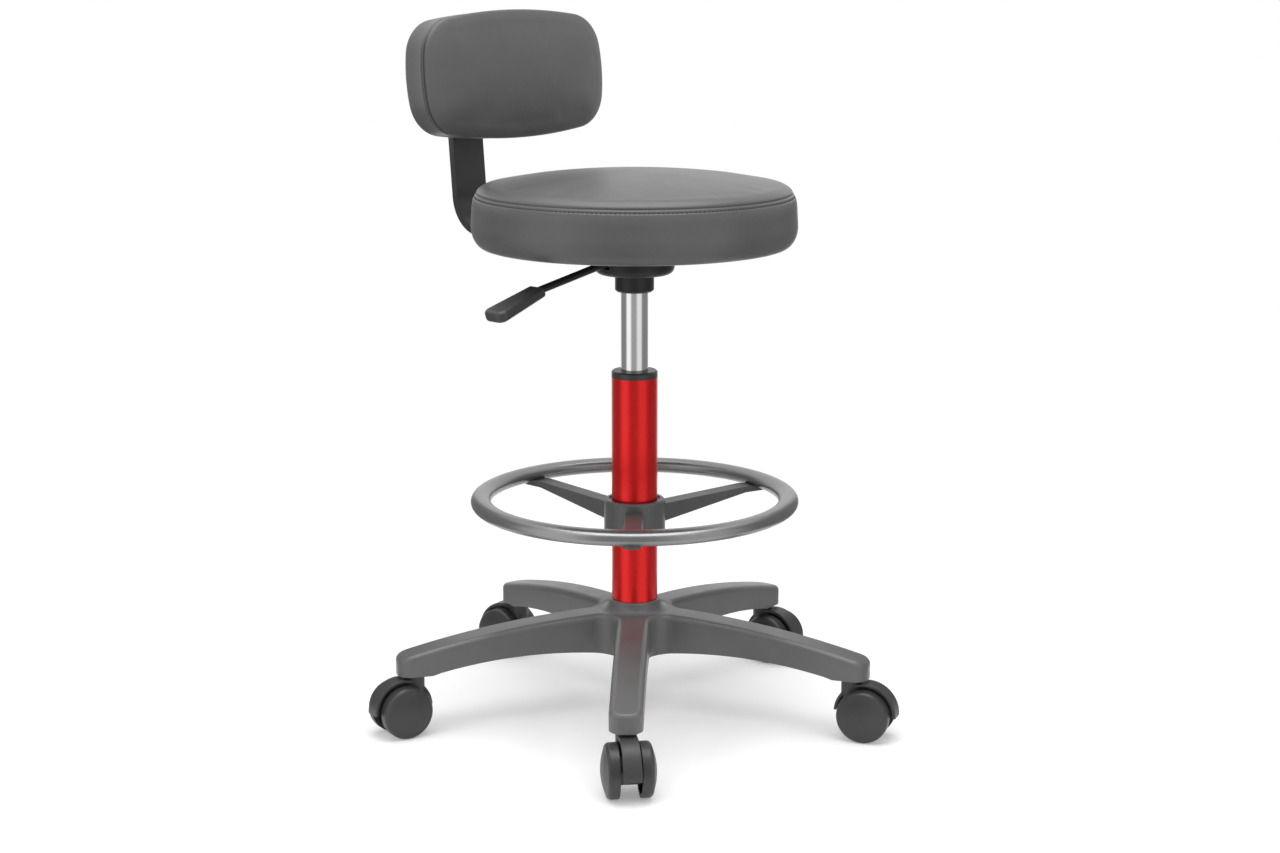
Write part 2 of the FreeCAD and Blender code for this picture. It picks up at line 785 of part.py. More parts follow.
def lever_paddle():
    """Flat finger paddle that widens to its rounded end."""
    root = paddle_root_width / 2
    half = paddle_width / 2
    low = -paddle_thickness / 2
    near = [point(0, root, low), point(0, -root, low)]
    far = [point(-paddle_length, -half, low), point(-paddle_length, half, low)]
    blank = Part.Face(Part.makePolygon(near + far + near[:1])).extrude(point(0, 0, paddle_thickness))
    upright = [edge for edge in blank.Edges if edge.BoundBox.ZLength > paddle_thickness / 2]
    outer = [edge for edge in upright if edge.BoundBox.XMin < -paddle_length / 2]
    blank = blank.makeFillet(paddle_corner, outer)
    rims = [edge for edge in blank.Edges if edge.BoundBox.ZLength < paddle_thickness / 2]
    paddle = blank.makeFillet(paddle_round, rims)
    paddle.rotate(origin, point(0, 1, 0), -paddle_droop)
    drop = lever_reach * math.tan(math.radians(lever_rod_droop))
    return moved(paddle, -paddle_start, 0, lever_height - drop).cut(lever_rod())


def bar_bend_point(radius, angle):
    """A point of the bar's bend at a radius, at an angle up from level."""
    centre_height = seat_bottom + bar_bend_radius - bar_thickness / 2
    return point(0, bar_bend_start + radius * math.cos(angle), centre_height + radius * math.sin(angle))


def bar_face_point(radius, up):
    """A point on the straight back of the bar, at a distance up from its bend."""
    way = point(0, math.sin(bar_lean), math.cos(bar_lean))
    return bar_bend_point(radius, -bar_lean) + way * up


def back_bar():
    """Flat steel bar bent up from under the seat and leaning back behind the pad."""
    outer = bar_bend_radius + bar_thickness / 2
    inner = bar_bend_radius - bar_thickness / 2
    low = -math.pi / 2
    middle = (low - bar_lean) / 2
    front_low = point(0, bar_front, seat_bottom - bar_thickness)
    front_high = point(0, bar_front, seat_bottom)
    outer_low = bar_bend_point(outer, low)
    outer_high = bar_face_point(outer, 0)
    inner_low = bar_bend_point(inner, low)
    inner_high = bar_face_point(inner, 0)
    edges = runs(front_low, outer_low) + [arc(outer_low, bar_bend_point(outer, middle), outer_high)]
    edges += runs(outer_high, bar_face_point(outer, bar_run), bar_face_point(inner, bar_run), inner_high)
    edges += [arc(inner_high, bar_bend_point(inner, middle), inner_low)]
    side = Part.Face(Part.Wire(edges + runs(inner_low, front_high, front_low)))
    bar = moved(side, -bar_width / 2, 0, 0).extrude(point(bar_width, 0, 0))
    ends = [edge for edge in bar.Edges if edge.Length < bar_thickness + edge_tolerance]
    bar = bar.makeFillet(bar_corner, ends)
    for x, y in bar_bolt_places():
        bar = bar.cut(cylinder(bolt_radius, seat_bottom - bar_thickness, seat_bottom, x, y))
    return bar.cut(pad_screw_shanks())


def on_pad(shape):
    """Place a piece drawn in the pad's own plane: x across, y up the pad, z out of its front."""
    copy = shape.copy()
    copy.rotate(origin, point(1, 0, 0), 90 - bar_recline)
    face = bar_face_point(bar_bend_radius - bar_thickness / 2, pad_up_bar)
    centre = face + point(0, -math.cos(bar_lean), math.sin(bar_lean)) * pad_off_bar
    copy.translate(centre)
    return copy


def pad_corner_centre():
    """Centre of the round between the pad's long and short edges, touching both bows."""
    long_reach = pad_long_bow_radius - pad_corner
    short_reach = pad_short_bow_radius - pad_corner
    across = pad_width / 2 - pad_short_bow_radius
    rise = pad_long_bow_radius - pad_height / 2
    span = math.hypot(across, rise)
    out = (long_reach ** 2 - short_reach ** 2 + span ** 2) / (2 * span)
    beside = math.sqrt(long_reach ** 2 - out ** 2)
    return point((across * out + rise * beside) / span, (rise * out - across * beside) / span - rise, 0)


def pad_outline(inset, depth):
    """Outline of the lumbar pad at a depth, drawn in by an even inset all round."""
    corner = pad_corner_centre()
    radius = pad_corner - inset
    from_long = (corner - point(0, pad_height / 2 - pad_long_bow_radius, 0)).normalize()
    from_short = (corner - point(pad_width / 2 - pad_short_bow_radius, 0, 0)).normalize()
    high = corner + from_long * radius
    side = corner + from_short * radius
    middle = corner + (from_long + from_short).normalize() * radius
    right = point(pad_width / 2 - inset, 0, 0)
    bottom = point(0, inset - pad_height / 2, 0)

    def place(spot, turn_x, turn_y):
        return point(spot.x * turn_x, spot.y * turn_y, depth)

    edges = []
    for turn in (1, -1):
        edges.append(arc(place(high, turn, turn), place(middle, turn, turn), place(side, turn, turn)))
        edges.append(arc(place(side, turn, turn), place(right, turn, turn), place(side, turn, -turn)))
        edges.append(arc(place(side, turn, -turn), place(middle, turn, -turn), place(high, turn, -turn)))
        edges.append(arc(place(high, turn, -turn), place(bottom, turn, turn), place(high, -turn, -turn)))
    return Part.Wire(edges)


def plain_outline(width, height, corner, depth):
    """A rectangle with round corners, drawn in the pad's plane."""
    half_x = width / 2
    half_y = height / 2
    bulge = corner * (1 - math.sqrt(0.5))
    edges = []
    for turn in (1, -1):
        top = point(turn * (half_x - corner), turn * half_y, depth)
        top_middle = point(turn * (half_x - bulge), turn * (half_y - bulge), depth)
        side_high = point(turn * half_x, turn * (half_y - corner), depth)
        side_low = point(turn * half_x, -turn * (half_y - corner), depth)
        low_middle = point(turn * (half_x - bulge), -turn * (half_y - bulge), depth)
        low = point(turn * (half_x - corner), -turn * half_y, depth)
        next_low = point(-turn * (half_x - corner), -turn * half_y, depth)
        edges += [arc(top, top_middle, side_high)] + runs(side_high, side_low)
        edges += [arc(side_low, low_middle, low)] + runs(low, next_low)
    return Part.Wire(edges)


def back_cushion():
    """Padded lumbar pad: crowned front, sewn seam round its edge, drawn-in side band, flatter rear."""
    front = pad_band / 2
    rear = -pad_band / 2
    lip = front + seam_half_width
    band = [
        pad_outline(pad_rear_inset, rear - pad_rear_crown),
        pad_outline(pad_rear_edge, rear - pad_rear_edge_rise),
        pad_outline(0, rear), pad_outline(pad_side_draw, 0), pad_outline(0, front - seam_half_width),
        pad_outline(seam_depth, front), pad_outline(0, lip)
    ]
    crown = []
    for step in range(pad_crown_steps + 1):
        turn = math.radians(90.0 * step / pad_crown_steps)
        inset = pad_crown_inset * (1 - math.cos(turn))
        crown.append(pad_outline(inset, lip + (pad_crown - seam_half_width) * math.sin(turn)))
    lower = Part.makeLoft(band, True, True)
    upper = Part.makeLoft(crown, True, False)
    cushion = on_pad(lower.fuse(upper))
    return cushion.cut(back_board_blank()).cut(pad_screw_shanks())


def back_board_blank():
    """The pad's board before its screw holes."""
    width = pad_width - 2 * pad_board_inset
    height = pad_height - 2 * pad_board_inset
    face = Part.Face(plain_outline(width, height, pad_board_corner, -pad_band / 2))
    return on_pad(face.extrude(point(0, 0, pad_board_thickness)))


def back_board():
    """Plywood board inside the lumbar pad."""
    return back_board_blank().cut(pad_screw_shanks())


def back_mount():
    """Moulded block that holds the pad off the bar."""
    small = plain_outline(mount_bar_width, mount_bar_height, mount_corner, -pad_off_bar)
    large = plain_outline(mount_width, mount_height, mount_corner, mount_depth - pad_off_bar)
    return on_pad(Part.makeLoft([small, large], True, True)).cut(pad_screw_shanks())


def pad_screw_shanks():
    """The screws' shanks from the back of the bar into the pad's board."""
    start = -pad_off_bar - bar_thickness
    end = pad_board_thickness - pad_screw_skin - pad_band / 2
    shanks = []
    for side in (-1, 1):
        place = point(0, side * pad_screw_pitch / 2, start)
        shanks.append(on_pad(Part.makeCylinder(pad_screw_radius, end - start, place)))
    return Part.makeCompound(shanks)


def back_pad_screws():
    """Two round-headed screws through bar and mount into the pad's board."""
    start = -pad_off_bar - bar_thickness - pad_screw_head
    screws = []
    for side, shank in zip((-1, 1), pad_screw_shanks().Solids):
        place = point(0, side * pad_screw_pitch / 2, start)
        head = on_pad(Part.makeCone(pad_screw_radius, pad_screw_head_radius, pad_screw_head, place))
        screws.append(shank.fuse(head))
    return Part.makeCompound(screws)


def foot_ring_blank():
    """Oval bar bent to a ring, before its screw holes: flat arcs above and below, tight arcs at the sides."""
    half_width = ring_tube_width / 2
    half_height = ring_tube_height / 2
    offset = half_width - ring_tube_side_radius
    spare = half_height ** 2 - ring_tube_side_radius ** 2 + offset ** 2
    flat_radius = spare / (2 * (half_height - ring_tube_side_radius))
    reach = ring_tube_side_radius / (flat_radius - ring_tube_side_radius)
    join_out = offset + reach * offset
    join_up = reach * (flat_radius - half_height)

    def place(out, up):
        return profile(ring_radius + out, ring_height + up)

    edges = []
    for turn in (1, -1):
        side_end = place(turn * join_out, turn * join_up)
        top_end = place(-turn * join_out, turn * join_up)
        side_start = place(turn * join_out, -turn * join_up)
        edges.append(arc(side_start, place(turn * half_width, 0), side_end))
        edges.append(arc(side_end, place(0, turn * half_height), top_end))
    return round_section(edges)


def foot_ring():
    """Foot ring with a blind hole over each spoke."""
    return foot_ring_blank().cut(foot_ring_screws())


def spoke():
    """One spoke along +X, rising and thinning to a tongue that goes under the ring."""
    start = carrier_bore_radius + carrier_wall / 2
    root_top = carrier_top - spoke_root_drop
    neck_radius = ring_radius - spoke_neck_inset
    neck_top = ring_height - spoke_neck_drop
    end = ring_radius + spoke_tongue_reach
    root_low = profile(start, root_top - spoke_root_depth)
    neck_low = profile(neck_radius, neck_top - spoke_neck_depth)
    end_low = profile(end, spoke_tongue_bottom)
    end_high = profile(end, spoke_tongue_bottom + spoke_tongue_end)
    neck_high = profile(neck_radius, neck_top)
    root_high = profile(start, root_top)
    side = Part.Face(Part.Wire(runs(root_low, neck_low, end_low, end_high, neck_high, root_high, root_low)))
    arm = moved(side, 0, -spoke_width / 2, 0).extrude(point(0, spoke_width, 0))
    tip = []
    for edge in arm.Edges:
        if edge.BoundBox.XMin > end - edge_tolerance and edge.BoundBox.YLength < edge_tolerance:
            tip.append(edge)
    arm = arm.makeFillet(spoke_tip_round, tip)
    rims = []
    for edge in arm.Edges:
        if edge.BoundBox.XLength > spoke_width and edge.BoundBox.YLength < edge_tolerance:
            rims.append(edge)
    return arm.makeFillet(spoke_edge_round, rims)


def foot_ring_carrier():
    """Moulded hub with three spokes, cut to seat the ring on its tongues."""
    chamfer = carrier_radius - carrier_edge_round
    hub = polygon_section(
        (carrier_bore_radius, carrier_bottom), (chamfer, carrier_bottom),
        (carrier_radius, carrier_bottom + carrier_edge_round),
        (carrier_radius, carrier_top - carrier_edge_round), (chamfer, carrier_top),
        (carrier_bore_radius, carrier_top)
    )
    arm = spoke()
    for angle in spoke_angles:
        hub = hub.fuse(turned(arm, angle))
    return hub.cut(foot_ring_blank()).cut(foot_ring_screws())


def foot_ring_collet():
    """Split sleeve between the carrier and the column that grips when the ring is twisted."""
    inner = column_radius + running_clearance
    sleeve = tube(inner + collet_wall, inner, carrier_bottom + collet_recess, carrier_top - collet_recess)
    slit = Part.makeBox(carrier_radius, collet_slit, carrier_top, point(0, -collet_slit / 2, 0))
    return sleeve.cut(slit)


def foot_ring_screws():
    """One countersunk screw through each tongue up into the ring."""
    screws = []
    for angle in spoke_angles:
        foot = along(angle, ring_radius, 0, spoke_tongue_bottom)
        head = Part.makeCone(ring_screw_head_radius, ring_screw_radius, ring_screw_head, foot)
        screws.append(Part.makeCylinder(ring_screw_radius, ring_screw_length, foot).fuse(head))
    return Part.makeCompound(screws)


def on_caster(shape, index):
    """Place a caster piece drawn about its swivel axis, trailing along +X, under one leg."""
    angle = leg_angle(index)
    place = along(angle, stem_circle_radius, 0, 0)
    return moved(turned(shape, angle + caster_turns[index]), place.x, place.y, 0)


def hood_point(radius, angle):
    """A point about the axle, at an angle up from the trailing side."""
    a = math.radians(angle)
    return profile(caster_trail + radius * math.cos(a), caster_wheel_radius + radius * math.sin(a))


def across_caster(edges, width):
    """Extrude a closed outline of the caster's side view evenly to both sides."""
    face = Part.Face(Part.Wire(edges))
    return moved(face, 0, -width / 2, 0).extrude(point(0, width, 0))


def caster_hood():
    """Caster body: curved band on a central web, stem neck, axle boss with rims that shield the wheels."""
    low = caster_hood_trailing_angle
    high = caster_hood_leading_angle
    middle = (low + high) / 2
    inner = caster_hood_radius - caster_hood_wall
    axle = hood_point(0, 0)
    outer_low = hood_point(caster_hood_radius, low)
    outer_high = hood_point(caster_hood_radius, high)
    inner_low = hood_point(inner, low)
    inner_high = hood_point(inner, high)
    outer_arc = arc(outer_low, hood_point(caster_hood_radius, middle), outer_high)
    inner_arc = arc(inner_high, hood_point(inner, middle), inner_low)
    band_edges = [outer_arc] + runs(outer_high, inner_high) + [inner_arc] + runs(inner_low, outer_low)
    band = across_caster(band_edges, caster_hood_width)
    outer_edges = []
    for edge in band.Edges:
        if edge.Curve.TypeId == "Part::GeomCircle" and edge.Curve.Radius > inner + edge_tolerance:
            outer_edges.append(edge)
    band = band.makeFillet(caster_hood_round, outer_edges)
    web = across_caster([inner_arc] + runs(inner_low, axle, inner_high), caster_hood_web)
    shield_width = 2 * (caster_wheel_inner + caster_shield_reach)
    shield = cross_pin(caster_shield_radius, shield_width, axle.x, axle.z)
    hub_room = cross_pin(caster_shield_bore, shield_width, axle.x, axle.z)
    boss = cross_pin(caster_shield_radius, caster_hood_width, axle.x, axle.z)
    boss = boss.fuse(shield.cut(hub_room))
    neck = cylinder(caster_neck_radius, caster_stem_seat, leg_bottom - caster_neck_gap)
    stem_floor = caster_stem_seat + caster_hood_wall
    stem_hole = cylinder(caster_stem_radius + running_clearance, stem_floor, leg_bottom)
    axle_hole = cross_pin(caster_axle_radius, caster_hood_width, axle.x, axle.z)
    return band.fuse(web).fuse(boss).fuse(neck).cut(stem_hole).cut(axle_hole)


def caster_wheel(side):
    """One wheel on the side given by its sign: domed outer face, hollow inner face, blind axle bore."""
    bore = caster_axle_radius + running_clearance
    hollow = caster_wheel_radius - caster_wheel_rim
    shoulder = caster_wheel_radius - caster_wheel_shoulder
    edge = caster_wheel_width - caster_wheel_dome
    bore_end = caster_wheel_width - caster_axle_end_gap
    tread_end = profile(caster_wheel_radius, edge - caster_wheel_shoulder)
    face_edge = profile(shoulder, edge)
    crown = profile(0, caster_wheel_width)
    floor = profile(0, bore_end)
    edges = runs(
        floor, profile(bore, bore_end), profile(bore, 0), profile(caster_wheel_hub_radius, 0),
        profile(caster_wheel_hub_radius, caster_wheel_recess), profile(hollow, caster_wheel_recess),
        profile(hollow, 0), profile(caster_wheel_radius, 0), tread_end
    )
    edges += [quarter(tread_end, face_edge, caster_wheel_shoulder), dome(face_edge, crown)]
    wheel = round_section(edges + runs(crown, floor))
    wheel.rotate(origin, point(1, 0, 0), -90 * side)
    return moved(wheel, caster_trail, side * caster_wheel_inner, caster_wheel_radius)


def caster_axle():
    """Steel pin through the hood that carries both wheels."""
    reach = caster_wheel_inner + caster_wheel_width - caster_axle_end_gap - sliding_gap
    return cross_pin(caster_axle_radius, 2 * reach, caster_trail, caster_wheel_radius)


def caster_stems():
    """Steel stems pressed up into the leg tips, each with a collar and a groove for its grip ring."""
    bottom = caster_stem_seat + caster_hood_wall + sliding_gap
    top = stem_top
    collar = caster_stem_radius + caster_stem_collar
    collar_bottom = leg_bottom - caster_neck_gap + sliding_gap
    neck = caster_stem_radius - grip_ring_depth
    groove_top = top - grip_ring_drop
    groove_bottom = groove_top - grip_ring_height
    stem = polygon_section(
        (0, bottom), (caster_stem_radius, bottom), (caster_stem_radius, collar_bottom),
        (collar, collar_bottom), (collar, leg_bottom), (caster_stem_radius, leg_bottom),
        (caster_stem_radius, groove_bottom), (neck, groove_bottom), (neck, groove_top),
        (caster_stem_radius, groove_top), (caster_stem_radius, top), (0, top)
    )
    return Part.makeCompound([on_caster(stem, index) for index in range(leg_count)])


def caster_grip_rings():
    """Split spring rings in the stems' grooves."""
    top = stem_top - grip_ring_drop
    bottom = top - grip_ring_height
    ring = tube(caster_stem_radius, caster_stem_radius - grip_ring_depth, bottom, top)
    corner = point(0, -grip_ring_mouth / 2, bottom)
    ring = ring.cut(Part.makeBox(caster_stem_radius, grip_ring_mouth, grip_ring_height, corner))
    return Part.makeCompound([on_caster(ring, index) for index in range(leg_count)])


def main():
    """Build every piece and save it under its node's name."""
    os.makedirs("parts", exist_ok=True)
    write("star_base", star_base())
    write("caster_stems", caster_stems())
    write("caster_grip_rings", caster_grip_rings())
    for index in range(leg_count):
        name = "caster_" + str(index + 1)
        write(name + "_hood", on_caster(caster_hood(), index))
        write(name + "_axle", on_caster(caster_axle(), index))
        write(name + "_wheel_left", on_caster(caster_wheel(1), index))
        write(name + "_wheel_right", on_caster(caster_wheel(-1), index))
    write("column_tube", column_tube())
    write("column_bush", column_bush())
    write("bearing_lower_race", race(bearing_floor, ball_diameter / 2 + running_clearance))
    write("bearing_balls", thrust_balls())
    write("bearing_upper_race", race(upper_race_bottom, ball_diameter / 2))
    write("rubber_buffer", rubber_buffer())
    write("piston_rod", piston_rod())
    write("rod_clip", rod_clip())
    write("piston", piston())
    write("gas_cylinder", gas_cylinder())
    write("rod_guide", rod_guide())
    write("valve_body", valve_body())
    write("release_pin", release_pin())
    write("mechanism_plate", mechanism_plate())
    write("mechanism_bowl", mechanism_bowl())
    write("socket_collar", socket_collar())
    write("seat_bolts", bolts(plate_bolt_places(), plate_bottom))
    write("seat_t_nuts", seat_t_nuts())
    write("seat_board", seat_board())
    write("seat_dust_cover", seat_dust_cover())
    write("seat_cushion", seat_cushion())
    write("lever_rod", lever_rod())
    write("lever_pivot_pin", lever_pivot_pin())
    write("lever_paddle", lever_paddle())
    write("back_bar", back_bar())
    write("back_bar_bolts", bolts(bar_bolt_places(), seat_bottom - bar_thickness))
    write("back_board", back_board())
    write("back_cushion", back_cushion())
    write("back_mount", back_mount())
    write("back_pad_screws", back_pad_screws())
    write("foot_ring", foot_ring())
    write("foot_ring_carrier", foot_ring_carrier())
    write("foot_ring_collet", foot_ring_collet())
    write("foot_ring_screws", foot_ring_screws())


main()
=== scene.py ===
"""Adjustable work stool: soft pieces, stitching, finishes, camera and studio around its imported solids."""

import logging
import math
from dataclasses import dataclass
from enum import Enum
from functools import cache, cached_property

import bmesh
import bpy
import numpy as np
from mathutils import Matrix, Vector
from mathutils.bvhtree import BVHTree


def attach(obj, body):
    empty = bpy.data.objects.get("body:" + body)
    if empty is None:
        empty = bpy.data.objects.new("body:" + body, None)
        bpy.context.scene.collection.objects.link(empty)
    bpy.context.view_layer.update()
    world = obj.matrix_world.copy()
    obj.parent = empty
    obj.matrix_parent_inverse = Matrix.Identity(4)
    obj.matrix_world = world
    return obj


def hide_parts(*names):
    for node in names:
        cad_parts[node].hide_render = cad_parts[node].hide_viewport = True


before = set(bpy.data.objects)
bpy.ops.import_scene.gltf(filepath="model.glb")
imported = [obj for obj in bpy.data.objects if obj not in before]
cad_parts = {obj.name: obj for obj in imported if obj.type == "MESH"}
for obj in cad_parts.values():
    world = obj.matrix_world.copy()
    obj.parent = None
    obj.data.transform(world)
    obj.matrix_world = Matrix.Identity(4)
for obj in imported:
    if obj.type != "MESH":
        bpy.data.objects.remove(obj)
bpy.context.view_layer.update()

log = logging.getLogger("work_stool")

Colour = tuple[float, float, float]


def opaque(colour: Colour) -> tuple[float, float, float, float]:
    """The colour with a full alpha."""
    return (*colour, 1.0)


def clear_selection() -> None:
    """Leave edit mode and deselect every object."""
    active = bpy.context.view_layer.objects.active
    if active is not None and active.mode != "OBJECT":
        bpy.ops.object.mode_set(mode="OBJECT")
    bpy.ops.object.select_all(action="DESELECT")


def pick(piece: bpy.types.Object) -> None:
    """Make one object the only selected and active one."""
    clear_selection()
    piece.select_set(True)
    bpy.context.view_layer.objects.active = piece


def apply_all(piece: bpy.types.Object) -> None:
    """Apply every modifier of a piece in order."""
    pick(piece)
    for modifier in list(piece.modifiers):
        bpy.ops.object.modifier_apply(modifier=modifier.name)


def smooth(piece: bpy.types.Object, degrees: float) -> None:
    """Shade a piece smooth up to an angle."""
    pick(piece)
    bpy.ops.object.shade_smooth_by_angle(angle=math.radians(degrees))


def subdivide(piece: bpy.types.Object, levels: int) -> None:
    """Apply a subdivision surface to a piece."""
    modifier = piece.modifiers.new("rounding", "SUBSURF")
    modifier.levels = levels
    modifier.render_levels = levels
    apply_all(piece)


def points_of(piece: bpy.types.Object) -> np.ndarray:
    """All vertex places of a piece, one row each."""
    places = np.empty(len(piece.data.vertices) * 3, np.float32)
    piece.data.vertices.foreach_get("co", places)
    return places.reshape(-1, 3).astype(float)


def place_points(piece: bpy.types.Object, places: np.ndarray) -> None:
    """Move all vertices of a piece to new places."""
    piece.data.vertices.foreach_set("co", places.astype(np.float32).ravel())
    piece.data.update()


def normals_of(piece: bpy.types.Object) -> np.ndarray:
    """All vertex normals of a piece, one row each."""
    turned = np.empty(len(piece.data.vertices) * 3, np.float32)
    piece.data.vertex_normals.foreach_get("vector", turned)
    return turned.reshape(-1, 3).astype(float)


def values_of(piece: bpy.types.Object, name: str) -> np.ndarray:
    """One named vertex attribute of a piece."""
    values = np.empty(len(piece.data.vertices), np.float32)
    piece.data.attributes[name].data.foreach_get("value", values)
    return values.astype(float)


def keep_values(piece: bpy.types.Object, name: str, values: np.ndarray) -> None:
    """Store one number per vertex as a named attribute."""
    attribute = piece.data.attributes.new(name, "FLOAT", "POINT")
    attribute.data.foreach_set("value", values.astype(np.float32))


def fill_end(piece: bpy.types.Object, run: float, span: int) -> None:
    """Close one open end of a lofted mesh in edit mode.

    Args:
        piece: The mesh being edited.
        run: The value of the attribute "run" at the open end, given to the new vertices as well.
        span: How many quads lie along one side of the closing grid.
    """
    bpy.ops.mesh.select_all(action="DESELECT")
    edit = bmesh.from_edit_mesh(piece.data)
    layer = edit.verts.layers.float["run"]
    for edge in edit.edges:
        if edge.is_boundary and abs(edge.verts[0][layer] - run) < 1e-6:
            edge.select_set(True)
    bmesh.update_edit_mesh(piece.data)
    bpy.ops.mesh.fill_grid(span=span)
    edit = bmesh.from_edit_mesh(piece.data)
    layer = edit.verts.layers.float["run"]
    for vertex in edit.verts:
        if vertex.select:
            vertex[layer] = run
    bmesh.update_edit_mesh(piece.data)


def loft(name: str, rings: list[np.ndarray], runs: list[float]) -> bpy.types.Object:
    """Wrap a grid of faces round a list of rings and close both ends with quads.

    Args:
        name: The new object's name.
        rings: One array of places per ring, all of one length that divides by four, in metres.
        runs: The distance along the section at each ring, kept as the attribute "run".

    Returns:
        The closed mesh object with its faces outwards; the attribute "girth" is the distance round each ring.
    """
    segments = len(rings[0])
    clear_selection()
    bpy.ops.mesh.primitive_grid_add(x_subdivisions=segments, y_subdivisions=len(rings) - 1)
    piece = bpy.context.object
    piece.name = name
    rows = np.stack(rings)
    closed = np.concatenate([rows, rows[:, :1]], axis=1)
    steps = np.linalg.norm(np.diff(closed, axis=1), axis=2)
    girths = np.concatenate([np.zeros((len(closed), 1)), np.cumsum(steps, axis=1)], axis=1)
    lengths = np.repeat(np.array(runs)[:, None], segments + 1, axis=1)
    place_points(piece, closed.reshape(-1, 3))
    keep_values(piece, "run", lengths.ravel())
    keep_values(piece, "girth", girths.ravel())
    bpy.ops.object.mode_set(mode="EDIT")
    bpy.ops.mesh.select_all(action="SELECT")
    bpy.ops.mesh.remove_doubles(threshold=1e-6)
    for run in (runs[0], runs[-1]):
        fill_end(piece, run, segments // 4)
    bpy.ops.mesh.select_all(action="SELECT")
    bpy.ops.mesh.normals_make_consistent(inside=False)
    bpy.ops.object.mode_set(mode="OBJECT")
    return piece


class ShaderBench:
    """A node tree with short ways to place and join its nodes."""

    def __init__(self, tree: bpy.types.NodeTree) -> None:
        """Keep the tree to work on."""
        self.tree = tree

    def feed(self, socket: bpy.types.NodeSocket, value: object) -> None:
        """Link an output to an input, or set the input's own value."""
        if isinstance(value, bpy.types.NodeSocket):
            self.tree.links.new(value, socket)
        else:
            socket.default_value = value

    def add(self, kind: str, inputs: dict | None = None, **settings: object) -> bpy.types.Node:
        """Place a node.

        Args:
            kind: The node's type name.
            inputs: Values or outputs for its inputs, by name or number.
            settings: Properties of the node itself.

        Returns:
            The new node.
        """
        node = self.tree.nodes.new(kind)
        for key, value in settings.items():
            setattr(node, key, value)
        for key, value in (inputs or {}).items():
            self.feed(node.inputs[key], value)
        return node

    def math(self, operation: str, *values: object) -> bpy.types.NodeSocket:
        """Place a Math node and give back its output."""
        return self.add("ShaderNodeMath", dict(enumerate(values)), operation=operation).outputs[0]

    def mix(self, factor: object, first: object, second: object, blend: str = "MIX") -> bpy.types.NodeSocket:
        """Place a colour Mix node and give back its output."""
        inputs = {0: factor, 6: first, 7: second}
        return self.add("ShaderNodeMix", inputs, data_type="RGBA", blend_type=blend).outputs[2]

    def noise(self, place: object, scale: object, detail: float, rough: float = 0.5) -> bpy.types.NodeSocket:
        """Place a Noise texture and give back its value."""
        inputs = {"Vector": place, "Scale": scale, "Detail": detail, "Roughness": rough}
        return self.add("ShaderNodeTexNoise", inputs).outputs["Fac"]

    def band(self, value: object, low: float, high: float) -> bpy.types.NodeSocket:
        """Bring a value from a band smoothly to the range from 0 to 1."""
        inputs = {"Value": value, "From Min": low, "From Max": high}
        return self.add("ShaderNodeMapRange", inputs, interpolation_type="SMOOTHSTEP").outputs[0]


